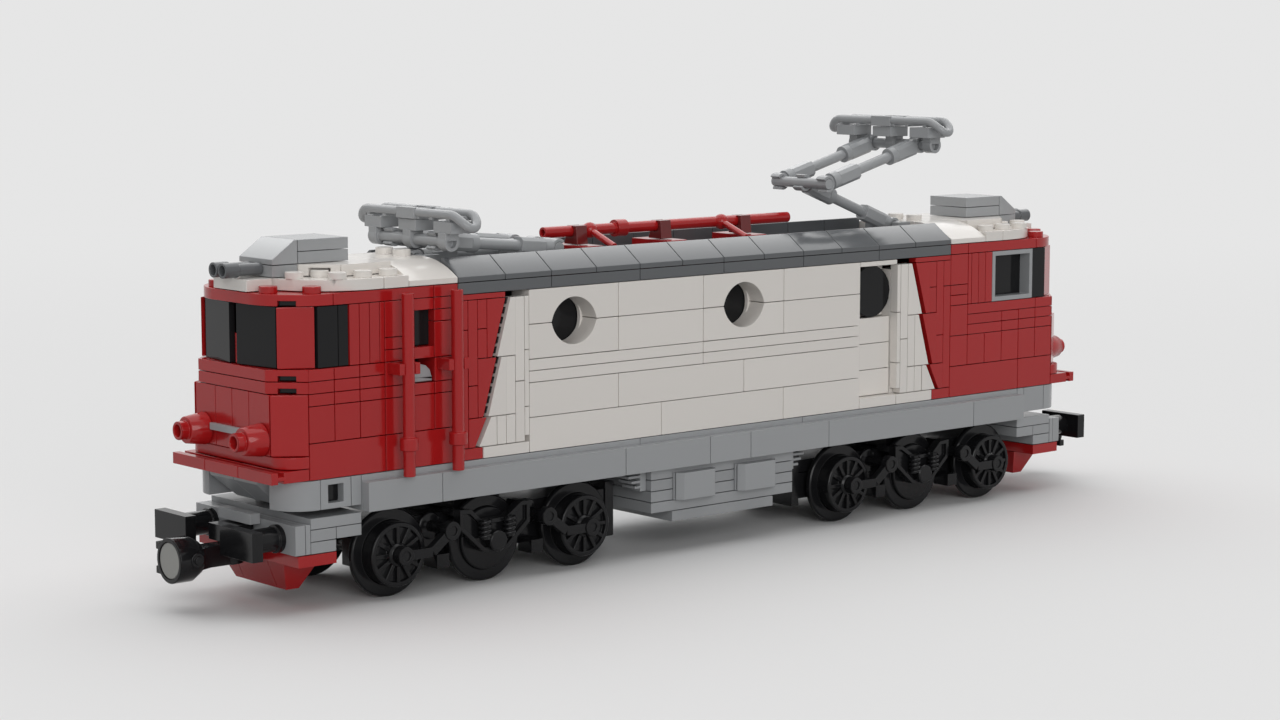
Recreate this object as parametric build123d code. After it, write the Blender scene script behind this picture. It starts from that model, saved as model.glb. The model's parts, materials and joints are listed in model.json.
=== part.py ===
from build123d import *
import os
from math import atan2, cos, degrees, pi, radians, sin

# Brick-built toy electric locomotive, six axles on two bogies.
# Millimetres. +X along the track, +Z up, origin on the floor under the middle of the body.
# The front, which carries the folded pantograph, points to -X.
# The model is the same after a half turn about Z, apart from how far each pantograph is raised.

# Brick grid
STUD = 8.0  # pitch of the studs
PLATE = 3.2  # height of one plate, a third of a brick
SEAM = 0.2  # gap left between neighbouring bricks
STUD_RADIUS = 2.4
STUD_HEIGHT = 1.7
BAR_RADIUS = 1.6  # every round bar of the toy
CLIP_RADIUS = 2.5  # outside of the clips that hold a bar
RUNNING_GAP = 0.1  # round a turning bar or axle
BAR_SIDES = 8  # facets round bars and studs
DISC_SIDES = 12  # facets round pieces over DISC_RADIUS
PORT_SIDES = 20  # facets round the window openings
DISC_RADIUS = 3.0
PORT_RADIUS = 7.0

# Running gear
FLANGE_RADIUS = 12.0
TREAD_RADIUS = 8.7
WHEEL_SIDES = 16
HUB_RADIUS = 2.7
SPOKES = 12
SPOKE_WIDTH = 1.2
RIM_WIDTH = 1.3
SPOKE_DEPTH = 1.2
FLANGE_BACK = 17.0  # from the centre line to the inner face of the flange
FLANGE_THICKNESS = 2.0
WHEEL_FACE = 23.6  # from the centre line to the outer face of a spoked wheel
PLAIN_WHEEL_FACE = 20.2  # the middle wheel stays behind the side frame
AXLE_RADIUS = 2.4
AXLE_PITCH = 32.0
BOGIE_X = -84.0
SKIRT_OVER_AXLE = 13.2
SKIRT_Z = FLANGE_RADIUS + SKIRT_OVER_AXLE  # lower edge of the skirt

# Body, in studs across and in plates above the lower edge of the skirt
WALL_OUT = 3  # outer face of the side walls
WALL_IN = 2  # inner face of the side walls
NOSE = 19  # front of the nose
CAB_END = 12  # where the cab meets the roof
ROOF_PLATES = 17  # underside of the roof plates
SKIRT_HEIGHT = 8.0
SIDE_Y = STUD * WALL_OUT  # outer face of the side walls, mm
CORNER_RADIUS = 16.0  # plan radius of the cab's top plates
ROOF_CORNER = 20.0  # plan radius of the white plates above them

# Pantograph linkage
PIVOT_X = 93.4
PIVOT_RISE = 62.4  # above the lower edge of the skirt
ARM = 42.0
ARM_SIDE = 10.0  # from the centre line to each upper arm
FOLDED_LOWER = 2.0  # degrees above level
FOLDED_UPPER = 5.5
RAISED_LOWER = 21.0
RAISED_UPPER = 14.9

nodes = {}


def add(name, *solids):
    """File solids under a node's name."""
    nodes.setdefault(name, []).extend(solids)


def turned(solids):
    """The same solids after a half turn about Z."""
    return [solid.rotate(Axis.Z, 180) for solid in solids]


def add_both(name, *solids):
    """File solids and their half-turned copies under one node."""
    add(name, *solids, *turned(solids))


def add_pair(front, rear, *solids):
    """File solids under the front node and their half-turned copies under the rear one."""
    add(front, *solids)
    add(rear, *turned(solids))


def level(plates):
    """Height of a plate count above the skirt's lower edge."""
    return SKIRT_Z + PLATE * plates


def rise(height):
    """Height of a distance in mm above the skirt's lower edge."""
    return SKIRT_Z + height


def block(x, y, z):
    """A box between two corners in mm, drawn in by half a seam on every face."""
    sizes = [high - low - SEAM for low, high in (x, y, z)]
    middle = [(high + low) / 2 for low, high in (x, y, z)]
    return Pos(*middle) * Box(*sizes)


def brick(x, y, z):
    """A block given in studs, studs and plates."""
    return block([STUD * n for n in x], [STUD * n for n in y], [level(n) for n in z])


def near_wall(table):
    """Bricks of the near wall from rows of x from, x to, z from, z to."""
    return [brick((x0, x1), (-WALL_OUT, -WALL_IN), (z0, z1)) for x0, x1, z0, z1 in table]


def row_of(seams, y, z):
    """A row of bricks between the listed seams."""
    return [brick(pair, y, z) for pair in zip(seams, seams[1:])]


def round_face(radius, bore=False):
    """The cross-section of a round piece or bore, with as many facets as its size needs."""
    sides = BAR_SIDES
    if radius > DISC_RADIUS:
        sides = DISC_SIDES
    if radius > PORT_RADIUS:
        sides = PORT_SIDES
    return RegularPolygon(radius, sides, major_radius=not bore)


def rod(start, end, radius, bore=False):
    """A round bar between two points, or the cut for a bore that clears the radius all round."""
    start, end = Vector(*start), Vector(*end)
    plane = Plane(origin=start, z_dir=end - start)
    return extrude(plane * round_face(radius, bore), (end - start).length)


def across(x, z, y0, y1, radius, bore=False):
    """A round bar or bore along Y."""
    return rod((x, y0, z), (x, y1, z), radius, bore)


def along(y, z, x0, x1, radius, bore=False):
    """A round bar or bore along X."""
    return rod((x0, y, z), (x1, y, z), radius, bore)


def upright(x, y, z0, z1, radius, bore=False):
    """A round bar or bore along Z."""
    return rod((x, y, z0), (x, y, z1), radius, bore)


def studded(solid, places, top, stud_face=None):
    """A plate with studs on its upper face at the listed x, y, faceted unless a face is given."""
    for x, y in places:
        stud = extrude(stud_face or round_face(STUD_RADIUS), STUD_HEIGHT + SEAM)
        solid = solid + Pos(x, y, top - SEAM) * stud
    return solid


def side_profile(points, y0, y1):
    """A prism along Y from x, z points."""
    face = Plane.XZ * make_face(Polyline(*points, close=True))
    return Pos(0, y1, 0) * extrude(face, y1 - y0)


def end_profile(points, x0, x1):
    """A prism along X from y, z points."""
    face = Plane.YZ * make_face(Polyline(*points, close=True))
    return Pos(x0, 0, 0) * extrude(face, x1 - x0)


def plan_profile(points, z0, z1):
    """A prism along Z from x, y points."""
    return Pos(0, 0, z0) * extrude(make_face(Polyline(*points, close=True)), z1 - z0)


def round_nosed(x0, x1, radius, z):
    """A plate across the body with its two front corners rounded in plan."""
    plate = block((x0, x1), (-SIDE_Y, SIDE_Y), z)
    corners = plate.edges().filter_by(Axis.Z).sort_by(Axis.X)[:2]
    return fillet(corners, radius - 2 * SEAM)


# Skirt tiles outside the floor frame
skirt_seams = (-16, -13, -5, -1, 1, 5, 13, 16)
for x0, x1 in zip(skirt_seams, skirt_seams[1:]):
    tile_y = (-STUD * WALL_OUT - PLATE, -STUD * WALL_OUT)
    add_both("skirt_tiles", block((STUD * x0, STUD * x1), tile_y, (SKIRT_Z, SKIRT_Z + SKIRT_HEIGHT)))

# Floor frame: side bricks under the walls and plates between them
FLOOR_TOP = 3
add_both("floor_frame", *row_of((-16, -4, 4, 16), (-WALL_OUT, -WALL_IN), (0, FLOOR_TOP)))
add("floor_frame", *row_of((-16, 0, 16), (-WALL_IN, WALL_IN), (FLOOR_TOP - 1, FLOOR_TOP)))

# Frame ends: hollow side brick, plate, round corner and sloped front
END_LOW = rise(1.6)
END_TOP = level(FLOOR_TOP)
END_PLATE_X = -STUD * 16 - PLATE
END_BRICK_X = END_PLATE_X - 3 * PLATE
END_FRONT_X = -STUD * NOSE
END_CORNER = 9.6
SOCKET = 4.8
SOCKET_DEPTH = 3.0
SLOPE_BACK = STUD - 0.6  # how far the frame end's slope leans back


def frame_end_side():
    """The grey pieces at one side of a frame end."""
    y = (-SIDE_Y, -SIDE_Y + STUD)
    hollow = block((END_BRICK_X, END_PLATE_X), y, (END_LOW, END_TOP))
    middle = ((END_BRICK_X + END_PLATE_X) / 2, -SIDE_Y, (END_LOW + END_TOP) / 2)
    hollow -= Pos(*middle) * Box(SOCKET, 2 * SOCKET_DEPTH, SOCKET)
    plate = block((END_PLATE_X, END_PLATE_X + PLATE), y, (END_LOW, END_TOP))
    corner = block((END_BRICK_X - END_CORNER, END_BRICK_X), (-SIDE_Y, -SIDE_Y + END_CORNER), (END_LOW, END_TOP))
    edge = corner.edges().filter_by(Axis.Z).sort_by(SortBy.DISTANCE)[-1]
    corner = fillet(edge, END_CORNER - 1)
    return [hollow, plate, corner]


def sloped_front():
    """The near one of two slopes that lean back under the bumper, with a facet at its outer corner."""
    back, lip = END_FRONT_X + 2 * STUD, END_TOP - PLATE / 2
    slope = block((END_FRONT_X, back), (-SLOPE_HALF, 0), (END_LOW, END_TOP))
    lean = Plane(origin=(END_FRONT_X, 0, lip), x_dir=(0, 1, 0), z_dir=(-(lip - END_LOW), 0, -SLOPE_BACK))
    corner = Plane(origin=(END_FRONT_X, -SLOPE_HALF + PLATE, lip), x_dir=(1, -0.5, 0), z_dir=(-1, -2, -1.6))
    for cut in (lean, corner):
        slope = split(slope, cut, keep=Keep.BOTTOM)
    return slope


end_sides = frame_end_side()
far_end_sides = [mirror(solid, Plane.XZ) for solid in end_sides]
add_both("frame_ends", *end_sides, *far_end_sides)
SLOPE_HALF = SIDE_Y - END_CORNER
near_front = sloped_front()
add_both("frame_ends", near_front, mirror(near_front, Plane.XZ))
add_both("frame_ends", block((-STUD * 17, -STUD * 16), (-STUD * 2, STUD * 2), (level(FLOOR_TOP - 1), END_TOP)))

# Boxes under the floor: x half length in studs, plates from, plates to
BOX_HALF_Y = 3
for half, z0, z1 in ((3.5, -1, 0), (3.5, -2, -1), (3.5, -3, -2), (3.5, -4, -3), (2.5, -5, -4)):
    add("underfloor_box", brick((-half, half), (-BOX_HALF_Y, BOX_HALF_Y), (z0, z1)))
for x0, x1 in ((-2.5, -0.5), (0.5, 2.5)):
    panel_y = (-SIDE_Y - PLATE, -SIDE_Y)
    panel_z = (level(-3), level(-3) + STUD)
    add_both("underfloor_box", block((STUD * x0, STUD * x1), panel_y, panel_z))

# Slatted grilles at the four corners of the under-floor box
GRILLE_X = -STUD * 3.5
GRILLE_Y = (-STUD * 2.75, -STUD * 2)
SLATS = 4
SLAT_PITCH = 1.5
for y in (GRILLE_Y, (-GRILLE_Y[1], -GRILLE_Y[0])):
    grille = block((GRILLE_X - 2.4, GRILLE_X), y, (level(-2), level(0)))
    for slat in range(SLATS):
        z = level(0) - SLAT_PITCH * slat
        reach = STUD - slat * 1.2
        grille += block((GRILLE_X - reach, GRILLE_X - 1), y, (z - SLAT_PITCH / 2 - SEAM, z))
    add_both("underfloor_grilles", grille)

# White side walls, x from, x to, z from, z to
white_rows = (
    (-9, -3, 3, 6), (-3, 3, 3, 6), (3, 7, 3, 6),
    (-9, -5, 6, 9), (-5, 1, 6, 9), (1, 7, 6, 9),
    (-9, -1, 9, 10), (-1, 7, 9, 10),
    (-9, -1, 10, 11), (-1, 7, 10, 11),
    (-5, -1, 11, 14), (3, 7, 11, 14),
    (-5, -1, 14, 17), (3, 7, 14, 17),
)
PORTHOLES = (-7, 1)  # studs from the middle
PORTHOLE_LEVEL = 14
PORTHOLE_RADIUS = 8.15
PORTHOLE_RISE = 6.6
GLASS = 1.0


def arch_cut(x):
    """The eye-shaped opening of two arches that meet at the joint between two bricks."""
    lens = None
    for side in (-1, 1):
        centre = level(PORTHOLE_LEVEL) + side * (PORTHOLE_RADIUS - PORTHOLE_RISE)
        disc = across(STUD * x, centre, -SIDE_Y - 1, -STUD * WALL_IN + 1, PORTHOLE_RADIUS)
        lens = disc if lens is None else lens & disc
    return lens


add_pair("side_wall_near", "side_wall_far", *near_wall(white_rows))
for x in PORTHOLES:
    opening = arch_cut(x)
    arches = [brick((x - 2, x + 2), (-WALL_OUT, -WALL_IN), z) for z in ((11, PORTHOLE_LEVEL), (PORTHOLE_LEVEL, 17))]
    add_both("porthole_arches", *[arch - opening for arch in arches])
    pane = block((STUD * (x - 1.2), STUD * (x + 1.2)), (-STUD * WALL_IN, -STUD * WALL_IN + GLASS), (level(11), level(17)))
    add_both("side_windows", pane)

# Recess with a round window between the white wall and the rear wedge
RECESS = (7, 9)
RECESS_SET_BACK = 3.2
recess_y = (-SIDE_Y + RECESS_SET_BACK, -STUD * WALL_IN)
for z0, z1 in ((3, 4), (4, 6.5), (6.5, 9), (9, 11.5)):
    deep = 0 if z0 == 3 else RECESS_SET_BACK
    y = (-SIDE_Y + deep, -STUD * WALL_IN)
    piece = block([STUD * n for n in RECESS], y, (level(z0), level(z1)))
    add_pair("side_wall_near", "side_wall_far", piece)
ROUND_WINDOW = 7.9
BACKING = 1.6
window_x = STUD * (RECESS[0] + RECESS[1]) / 2
round_window = across(window_x, level(PORTHOLE_LEVEL), recess_y[0], recess_y[1] - BACKING - SEAM, ROUND_WINDOW)
add_both("side_windows", round_window)
recess_x = [STUD * n for n in RECESS]
backing = block(recess_x, (recess_y[1] - BACKING, recess_y[1]), (level(11.5), level(16.5)))
lintel = block(recess_x, (-SIDE_Y, recess_y[1]), (level(16.5), level(17)))
add_pair("side_wall_near", "side_wall_far", backing, lintel)

# Wedge of red and white side plates where the colours meet
# Columns: top, bottom (mm above the skirt), red left, red top right, red bottom right,
# white top left, white bottom left, white right (all as distance from the middle)
WEDGE_STEPS = (
    (52.8, 36.8, 86.4, 80.2, 84.8, 78.4, 83.0, 76.8),
    (36.8, 20.8, 89.6, 83.4, 88.0, 81.6, 86.2, 80.0),
    (20.8, 12.8, 92.8, 86.8, 90.8, 85.2, 89.3, 83.4),
)
WEDGE_DEPTH = PLATE
# Red strips behind the wedge: inner edge, and the seams up the strip
RED_STRIPS = ((86.4, (36.8, 44.8, 52.8)), (89.6, (20.8, 29.6, 52.8)), (92.8, (12.8, 44.8, 52.8)))


def wedge_end(sign):
    """Red and white pieces of the near wedge, at the front for sign -1 and the rear for +1."""
    def plate_of(points):
        shape = side_profile([(sign * x, rise(z)) for x, z in points], -SIDE_Y, -SIDE_Y + WEDGE_DEPTH)
        return shape

    def strip(x0, x1, z0, z1):
        x = sorted((sign * x0, sign * x1))
        return block(x, (-SIDE_Y, -SIDE_Y + WEDGE_DEPTH), (rise(z0), rise(z1)))

    red, white = [], []
    for top, low, r0, r1, r2, w0, w1, w2 in WEDGE_STEPS:
        half = SEAM / 2
        red.append(plate_of(((r0, top - half), (r1, top - half), (r2, low + half), (r0, low + half))))
        white.append(plate_of(((w0, top - half), (w2, top - half), (w2, low + half), (w1, low + half))))
        for edge in (76.8, 80.0):
            if w2 > edge:
                white.append(strip(edge, min(w2, edge + PLATE), low, top))
    white += [strip(73.6, 76.8, 29.6, 52.8), strip(73.6, 76.8, 12.8, 29.6)]
    white += [strip(72.0, 73.6, z0, z1) for z0, z1 in ((38.0, 52.8), (22.4, 38.0), (14.4, 22.4))]
    white.append(strip(72.0, 88.0, 9.6, 12.8))
    red += [strip(88.0, 96.0, 9.6, 12.8), strip(80.0, 96.0, 52.8, 54.4)]
    for edge, seams in RED_STRIPS:
        red += [strip(edge, edge + PLATE, z0, z1) for z0, z1 in zip(seams, seams[1:])]
    inner = [STUD * 9, STUD * 12]
    backing = block(sorted(sign * x for x in inner), (-SIDE_Y + WEDGE_DEPTH, -STUD * WALL_IN), (level(3), level(16)))
    white.append(backing)
    return red, white


for end in (-1, 1):
    red_pieces, white_pieces = wedge_end(end)
    add_both("wedge_red", *red_pieces)
    add_both("wedge_white", *white_pieces)

# Red cab wall with the door, near side at the front
door_side_rows = (
    (-18, -15, 3, 6),
    (-18, -17, 6, 9), (-17, -16, 6, 9), (-16, -15, 6, 9),
    (-18, -17, 9, 10), (-17, -16, 9, 10), (-16, -15, 9, 10),
    (-18, -17, 10, 11), (-17, -16, 10, 11), (-16, -15, 10, 11),
    (-18, -17, 11, 12), (-17, -16, 11, 12), (-16, -15, 11, 12),
)
# Red cab wall with the framed window, near side at the rear
window_side_rows = (
    (12, 16, 3, 6), (16, 18, 3, 6),
    (12, 13, 6, 9), (13, 14, 6, 9), (14, 15, 6, 9), (15, 16, 6, 9), (16, 17, 6, 9), (17, 18, 6, 9),
    (13, 15, 9, 10), (15, 16, 9, 10), (16, 17, 9, 10), (17, 18, 9, 10),
    (13, 15, 10, 11), (15, 16, 10, 11), (16, 17, 10, 11), (17, 18, 10, 11),
    (13, 17, 11, 12), (17, 18, 11, 12),
    (12, 13, 9, 12), (12, 13, 12, 13), (12, 13, 13, 14), (12, 13, 14, 17),
)
BAND = (level(12), level(17))  # the band of windows
add_pair("cab_front_walls", "cab_rear_walls", *near_wall(door_side_rows))
add_pair("cab_rear_walls", "cab_front_walls", *near_wall(window_side_rows))


def band_strips(edges):
    """Side plates standing in the window band, between the listed x in mm."""
    y = (-SIDE_Y, -STUD * WALL_IN)
    return [block(pair, y, BAND) for pair in zip(edges, edges[1:])]


add_pair("cab_front_walls", "cab_rear_walls", *band_strips((-131.2, -128.0, -124.8, -121.6, -120.0)))
add_pair("cab_rear_walls", "cab_front_walls", *band_strips((104.0, 105.6, 108.8, 112.0, 115.2)))

# Door with its window and handle, columns of x from, x to and the seams up the column
door_columns = (
    ((-15, -12), (3, 6)),
    ((-15, -14), (6, 9, 10, 12, 13, 14, 17)),
    ((-13, -12), (6, 9, 10, 12, 15, 16, 17)),
    ((-14, -13), (6, 9, 10)),
    ((-14, -13), (12, 13)),
    ((-14, -13), (16, 17)),
)
for x, seams in door_columns:
    for z in zip(seams, seams[1:]):
        add_both("cab_doors", brick(x, (-WALL_OUT, -WALL_IN), z))
DOOR_X = -13.5 * STUD
add_both("cab_windows", block((-14 * STUD, -13 * STUD), (-SIDE_Y + 2.4, -SIDE_Y + 3.6), (level(13), level(16))))
HANDLE_RADIUS = 3.6
handle = across(DOOR_X, level(10.4), -SIDE_Y + 1.0, -SIDE_Y + 4.0, HANDLE_RADIUS)
handle &= Pos(DOOR_X, -SIDE_Y + 2.5, level(10.4) + HANDLE_RADIUS / 2) * Box(STUD, STUD, HANDLE_RADIUS)
handle += block((-14 * STUD, -13 * STUD), (-SIDE_Y + 1.0, -STUD * WALL_IN), (level(10), level(10.5)))
add_both("door_handles", handle)

# Handrails beside the door
RAIL_Y = -28.7
RAIL_XS = (-14.5 * STUD, -12.5 * STUD)
RAIL_CLIP_Z = rise(36.8)
JAW = 0.9  # half the width of a clip's jaw
JAW_X = BAR_RADIUS + JAW  # from the rail's axis to the middle of each jaw
for x in RAIL_XS:
    rail = upright(x, RAIL_Y, rise(8.4), rise(56.6), BAR_RADIUS)
    rail += upright(x, RAIL_Y, rise(15.4), rise(18.6), BAR_RADIUS + 0.8)
    add_both("handrails", rail)
    for jaw in (-JAW_X, JAW_X):
        y = (RAIL_Y - JAW, -SIDE_Y)
        z = (RAIL_CLIP_Z - PLATE / 2, RAIL_CLIP_Z + PLATE / 2)
        add_both("handrails", block((x + jaw - JAW, x + jaw + JAW), y, z))

# Cab windows: side glass, framed window and the two front panes
SIDE_GLASS = (-SIDE_Y + 0.4, -SIDE_Y + 2.4)
add_both("cab_windows", block((-140.8, -134.4), SIDE_GLASS, BAND), block((-134.4, -131.2), SIDE_GLASS, BAND))
add_both("cab_windows", block((134.4, 140.8), SIDE_GLASS, BAND))
frame_x = (115.2, 134.4)
frame_border = 1.4
window_frame = block(frame_x, (-SIDE_Y, -STUD * WALL_IN), BAND)
pane_x = (frame_x[0] + frame_border, frame_x[1] - frame_border)
pane_z = (BAND[0] + frame_border, BAND[1] - frame_border)
window_frame -= block(pane_x, (-SIDE_Y - 1, -STUD * WALL_IN + 1), pane_z)
add_both("window_frames", window_frame)
add_both("cab_windows", block(pane_x, (-SIDE_Y + 4.0, -SIDE_Y + 5.2), pane_z))

FRONT_PANE_X = -151.2
FRONT_PANE_TURN = 8.0
PANE_WIDTH = 15.3
PANE_GAP = 1.7
PANE_THICK = 1.6
for side in (-1, 1):
    pane = Box(PANE_THICK, PANE_WIDTH, BAND[1] - BAND[0] - SEAM)
    pane = Pos(PANE_THICK / 2, side * PANE_WIDTH / 2, 0) * pane
    pane = pane.rotate(Axis.Z, -side * FRONT_PANE_TURN)
    add_both("cab_windows", Pos(FRONT_PANE_X, side * PANE_GAP, (BAND[0] + BAND[1]) / 2) * pane)

# Red noses
FRONT_X = -STUD * NOSE
SILL_PLATES = ((10, 11), (11, 12))
CHAMFER = STUD
NOTCH = (2 * STUD_RADIUS, 2.4, 1.5)  # slot under a plate's cut corner: along, deep and high


def sill(z0, z1, half):
    """A nose plate with cut corners, and slots under them where a stud of the plate below would show."""
    side = STUD * WALL_OUT
    points = ((FRONT_X + STUD, -side), (FRONT_X, -half), (FRONT_X, half), (FRONT_X + STUD, side))
    plate = plan_profile(points, level(z0) + SEAM / 2, level(z1) - SEAM / 2)
    return notched(plate, FRONT_X + STUD / 2, (side + half) / 2, level(z0))


def notched(plate, x, y, z):
    """A plate with a slot in its underside at both front corners, facing out at 45 degrees."""
    along_edge, deep, high = NOTCH
    for way in (-1, 1):
        plate -= Pos(x, way * y, z) * Rot(0, 0, way * -45) * Box(2 * deep, along_edge, 2 * high)
    return plate


def corner_panel(start, end, z0, z1):
    """A flat panel standing across a nose corner between two x, y points."""
    start, end = Vector(*start, 0), Vector(*end, 0)
    points = (start, end, end + Vector(0, PLATE, 0), start + Vector(PLATE, 0, 0))
    return plan_profile([(p.X, p.Y) for p in points], z0 + SEAM / 2, z1 - SEAM / 2)


PANEL_Z = (level(5), level(10))
SILL_HALF = STUD * WALL_OUT - CHAMFER
nose = [sill(z0, z1, SILL_HALF) for z0, z1 in SILL_PLATES]
for y0, y1 in ((-17.6, -8.0), (-8.0, 0.0), (0.0, 8.0), (8.0, 17.6)):
    nose.append(block((FRONT_X, FRONT_X + PLATE), (y0, y1), PANEL_Z))
for side in (-1, 1):
    lower = corner_panel((FRONT_X, -18.2), (FRONT_X + STUD - 0.2, -23.9), *PANEL_Z)
    upper = corner_panel((-149.6, -18.0), (-141.2, -22.8), *BAND)
    pair = [lower, upper]
    nose += pair if side < 0 else [mirror(solid, Plane.XZ) for solid in pair]
foot = round_nosed(FRONT_X + 0.4, FRONT_X + STUD, STUD - 1, (level(4), level(5)))
nose.append(foot)
BUMPER_FRONT = -155.7
RAIL_THICK = 2.2
for y0, y1 in ((-24.0, -8.0), (-8.0, 8.0), (8.0, 24.0)):
    bumper = block((FRONT_X, FRONT_X + STUD), (y0, y1), (level(3), level(4)))
    bumper += block((BUMPER_FRONT, BUMPER_FRONT + RAIL_THICK), (y0, y1), (level(3), level(4)))
    bumper += block((BUMPER_FRONT + 1, FRONT_X + 1), (y0, y1), (level(3) + 0.8, level(3) + 2.0))
    nose.append(bumper)
nose.append(block((FRONT_X + PLATE, FRONT_X + STUD), (-SIDE_Y + STUD, SIDE_Y - STUD), PANEL_Z))
POST_SPLIT = rise(46.4)
post_low = upright(FRONT_X + PLATE, 0, BAND[0] + SEAM / 2, POST_SPLIT - SEAM / 2, BAR_RADIUS)
post_high = block((FRONT_X + PLATE, FRONT_X + 2 * PLATE), (-BAR_RADIUS, BAR_RADIUS), (POST_SPLIT, BAND[1]))
nose += [post_low, post_high]
add_pair("cab_front_nose", "cab_rear_nose", *nose)

# Headlights: red cones with hollow tips, and the grey bar between them
LIGHT_Y = 13.6
LIGHT_Z = rise(20.0)
CONE = (4.4, 3.6, 5.8)  # base radius, tip radius, length
TIP = (2.5, 1.7, 2.2)  # radius, bore radius, length
for side in (-1, 1):
    plane = Plane(origin=(FRONT_X - SEAM / 2, side * LIGHT_Y, LIGHT_Z), z_dir=(-1, 0, 0))
    cone = extrude(plane * round_face(CONE[0]), CONE[2], taper=degrees(atan2(CONE[0] - CONE[1], CONE[2])))
    cone += extrude(plane.offset(CONE[2]) * round_face(TIP[0]), TIP[2])
    cone -= extrude(plane.offset(CONE[2] - 1) * round_face(TIP[1]), TIP[2] + 2)
    add_both("headlights", cone)
bar_y = LIGHT_Y - 4.6
add_both("headlight_bars", block((FRONT_X - 1.4, FRONT_X), (-bar_y, bar_y), (rise(20.2), rise(22.2))))

# Red top plates over the cabs
TOP = (level(17), level(18))
top_front = round_nosed(FRONT_X, FRONT_X + 2 * STUD, CORNER_RADIUS, TOP)
corner_in = CORNER_RADIUS * (1 - cos(radians(45)))  # how far the round corner draws in from the square one
top_front = notched(top_front, FRONT_X + corner_in, SIDE_Y - corner_in, TOP[0])
red_studs = [(x, side * y) for side in (-1, 1) for x, y in ((-148.0, 12.0), (-140.0, 20.0))]
add_both("cab_tops", studded(top_front, red_studs, TOP[1]))
for y in ((-WALL_OUT, -WALL_IN), (WALL_IN, WALL_OUT)):
    add_both("cab_tops", *row_of((-17, -13, -CAB_END), y, (17, 18)))
add_both("cab_tops", brick((-17, -CAB_END), (-WALL_IN, WALL_IN), (17, 18)))

# White cab roofs
LAYER = (level(18), level(19))
roof_front = brick((-NOSE, -18), (-1, 1), (18, 19))
roof_round = round_nosed(-18 * STUD, -15 * STUD, ROOF_CORNER, LAYER)
white_studs = [(x, side * y) for side in (-1, 1) for x, y in ((-132, 20), (-124, 20), (-140, 12), (-132, 12))]
roof_round = studded(roof_round, white_studs, LAYER[1])
roof_back = studded(brick((-15, -14), (-WALL_OUT, WALL_OUT), (18, 19)), ((-116, -20), (-116, 20)), LAYER[1])
add_both("cab_roofs", roof_front, roof_round, roof_back)
NOTCH_RADIUS = 2.9
NOTCH_HEIGHT = 2.2
upper_nose = plan_profile(
    ((-17 * STUD, -STUD), (-16 * STUD - SEAM, -2 * STUD), (-16 * STUD - SEAM, 2 * STUD), (-17 * STUD, STUD)),
    level(19) + SEAM / 2,
    level(20) - SEAM / 2,
)
for side in (-1, 1):
    upper_nose -= upright(-132, side * 12, level(19) - 1, level(19) + NOTCH_HEIGHT, NOTCH_RADIUS)
add_both("cab_roofs", upper_nose, brick((-16, -14), (-2, 2), (19, 20)))
deck = brick((-14, -CAB_END), (-1, 1), (18, 20))
# other bricks seat on the deck's studs, so these are exact rounds
add_both("cab_roofs", studded(deck, ((-100, -4), (-100, 4)), level(20), Circle(STUD_RADIUS)))
CURVE_LIP = 1.5


def curved_slope():
    """A curved roof piece that rises from a low lip at the side to the deck."""
    y0, y1 = -SIDE_Y + SEAM / 2, -STUD - SEAM / 2
    z0, z1 = level(18) + SEAM / 2, level(20) - SEAM / 2
    outline = Polyline((y1, z1), (y1, z0), (y0, z0), (y0, z0 + CURVE_LIP))
    crown = TangentArc((y1, z1), (y0, z0 + CURVE_LIP), tangent=(-1, 0))
    face = Plane.YZ * make_face([outline, crown])
    return Pos(-14 * STUD + SEAM / 2, 0, 0) * extrude(face, 2 * STUD - SEAM)


near_curve = curved_slope()
add_both("cab_roofs", near_curve, mirror(near_curve, Plane.XZ))

# Dark roof: edge plates, sloped edge pieces and the floor of the trough between them
add_both("roof_edges", *row_of(range(-CAB_END, CAB_END + 1, 4), (-WALL_OUT, -WALL_IN), (17, 18)))
add("roof_floor", *row_of((-CAB_END, -4, 4, CAB_END), (-WALL_IN, WALL_IN), (17, 18)))
SLOPE_LIP = 1.5
SLOPE_CREST = 1.0
slope_points = (
    (-SIDE_Y + SEAM / 2, level(18) + SEAM / 2),
    (-SIDE_Y + SEAM / 2, level(18) + SLOPE_LIP),
    (-STUD * WALL_IN - SLOPE_CREST, level(20) - SEAM / 2),
    (-STUD * WALL_IN - SEAM / 2, level(20) - SEAM / 2),
    (-STUD * WALL_IN - SEAM / 2, level(18) + SEAM / 2),
)
for x in range(-CAB_END, CAB_END, 2):
    add_both("roof_slopes", end_profile(slope_points, STUD * x + SEAM / 2, STUD * (x + 2) - SEAM / 2))

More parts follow.
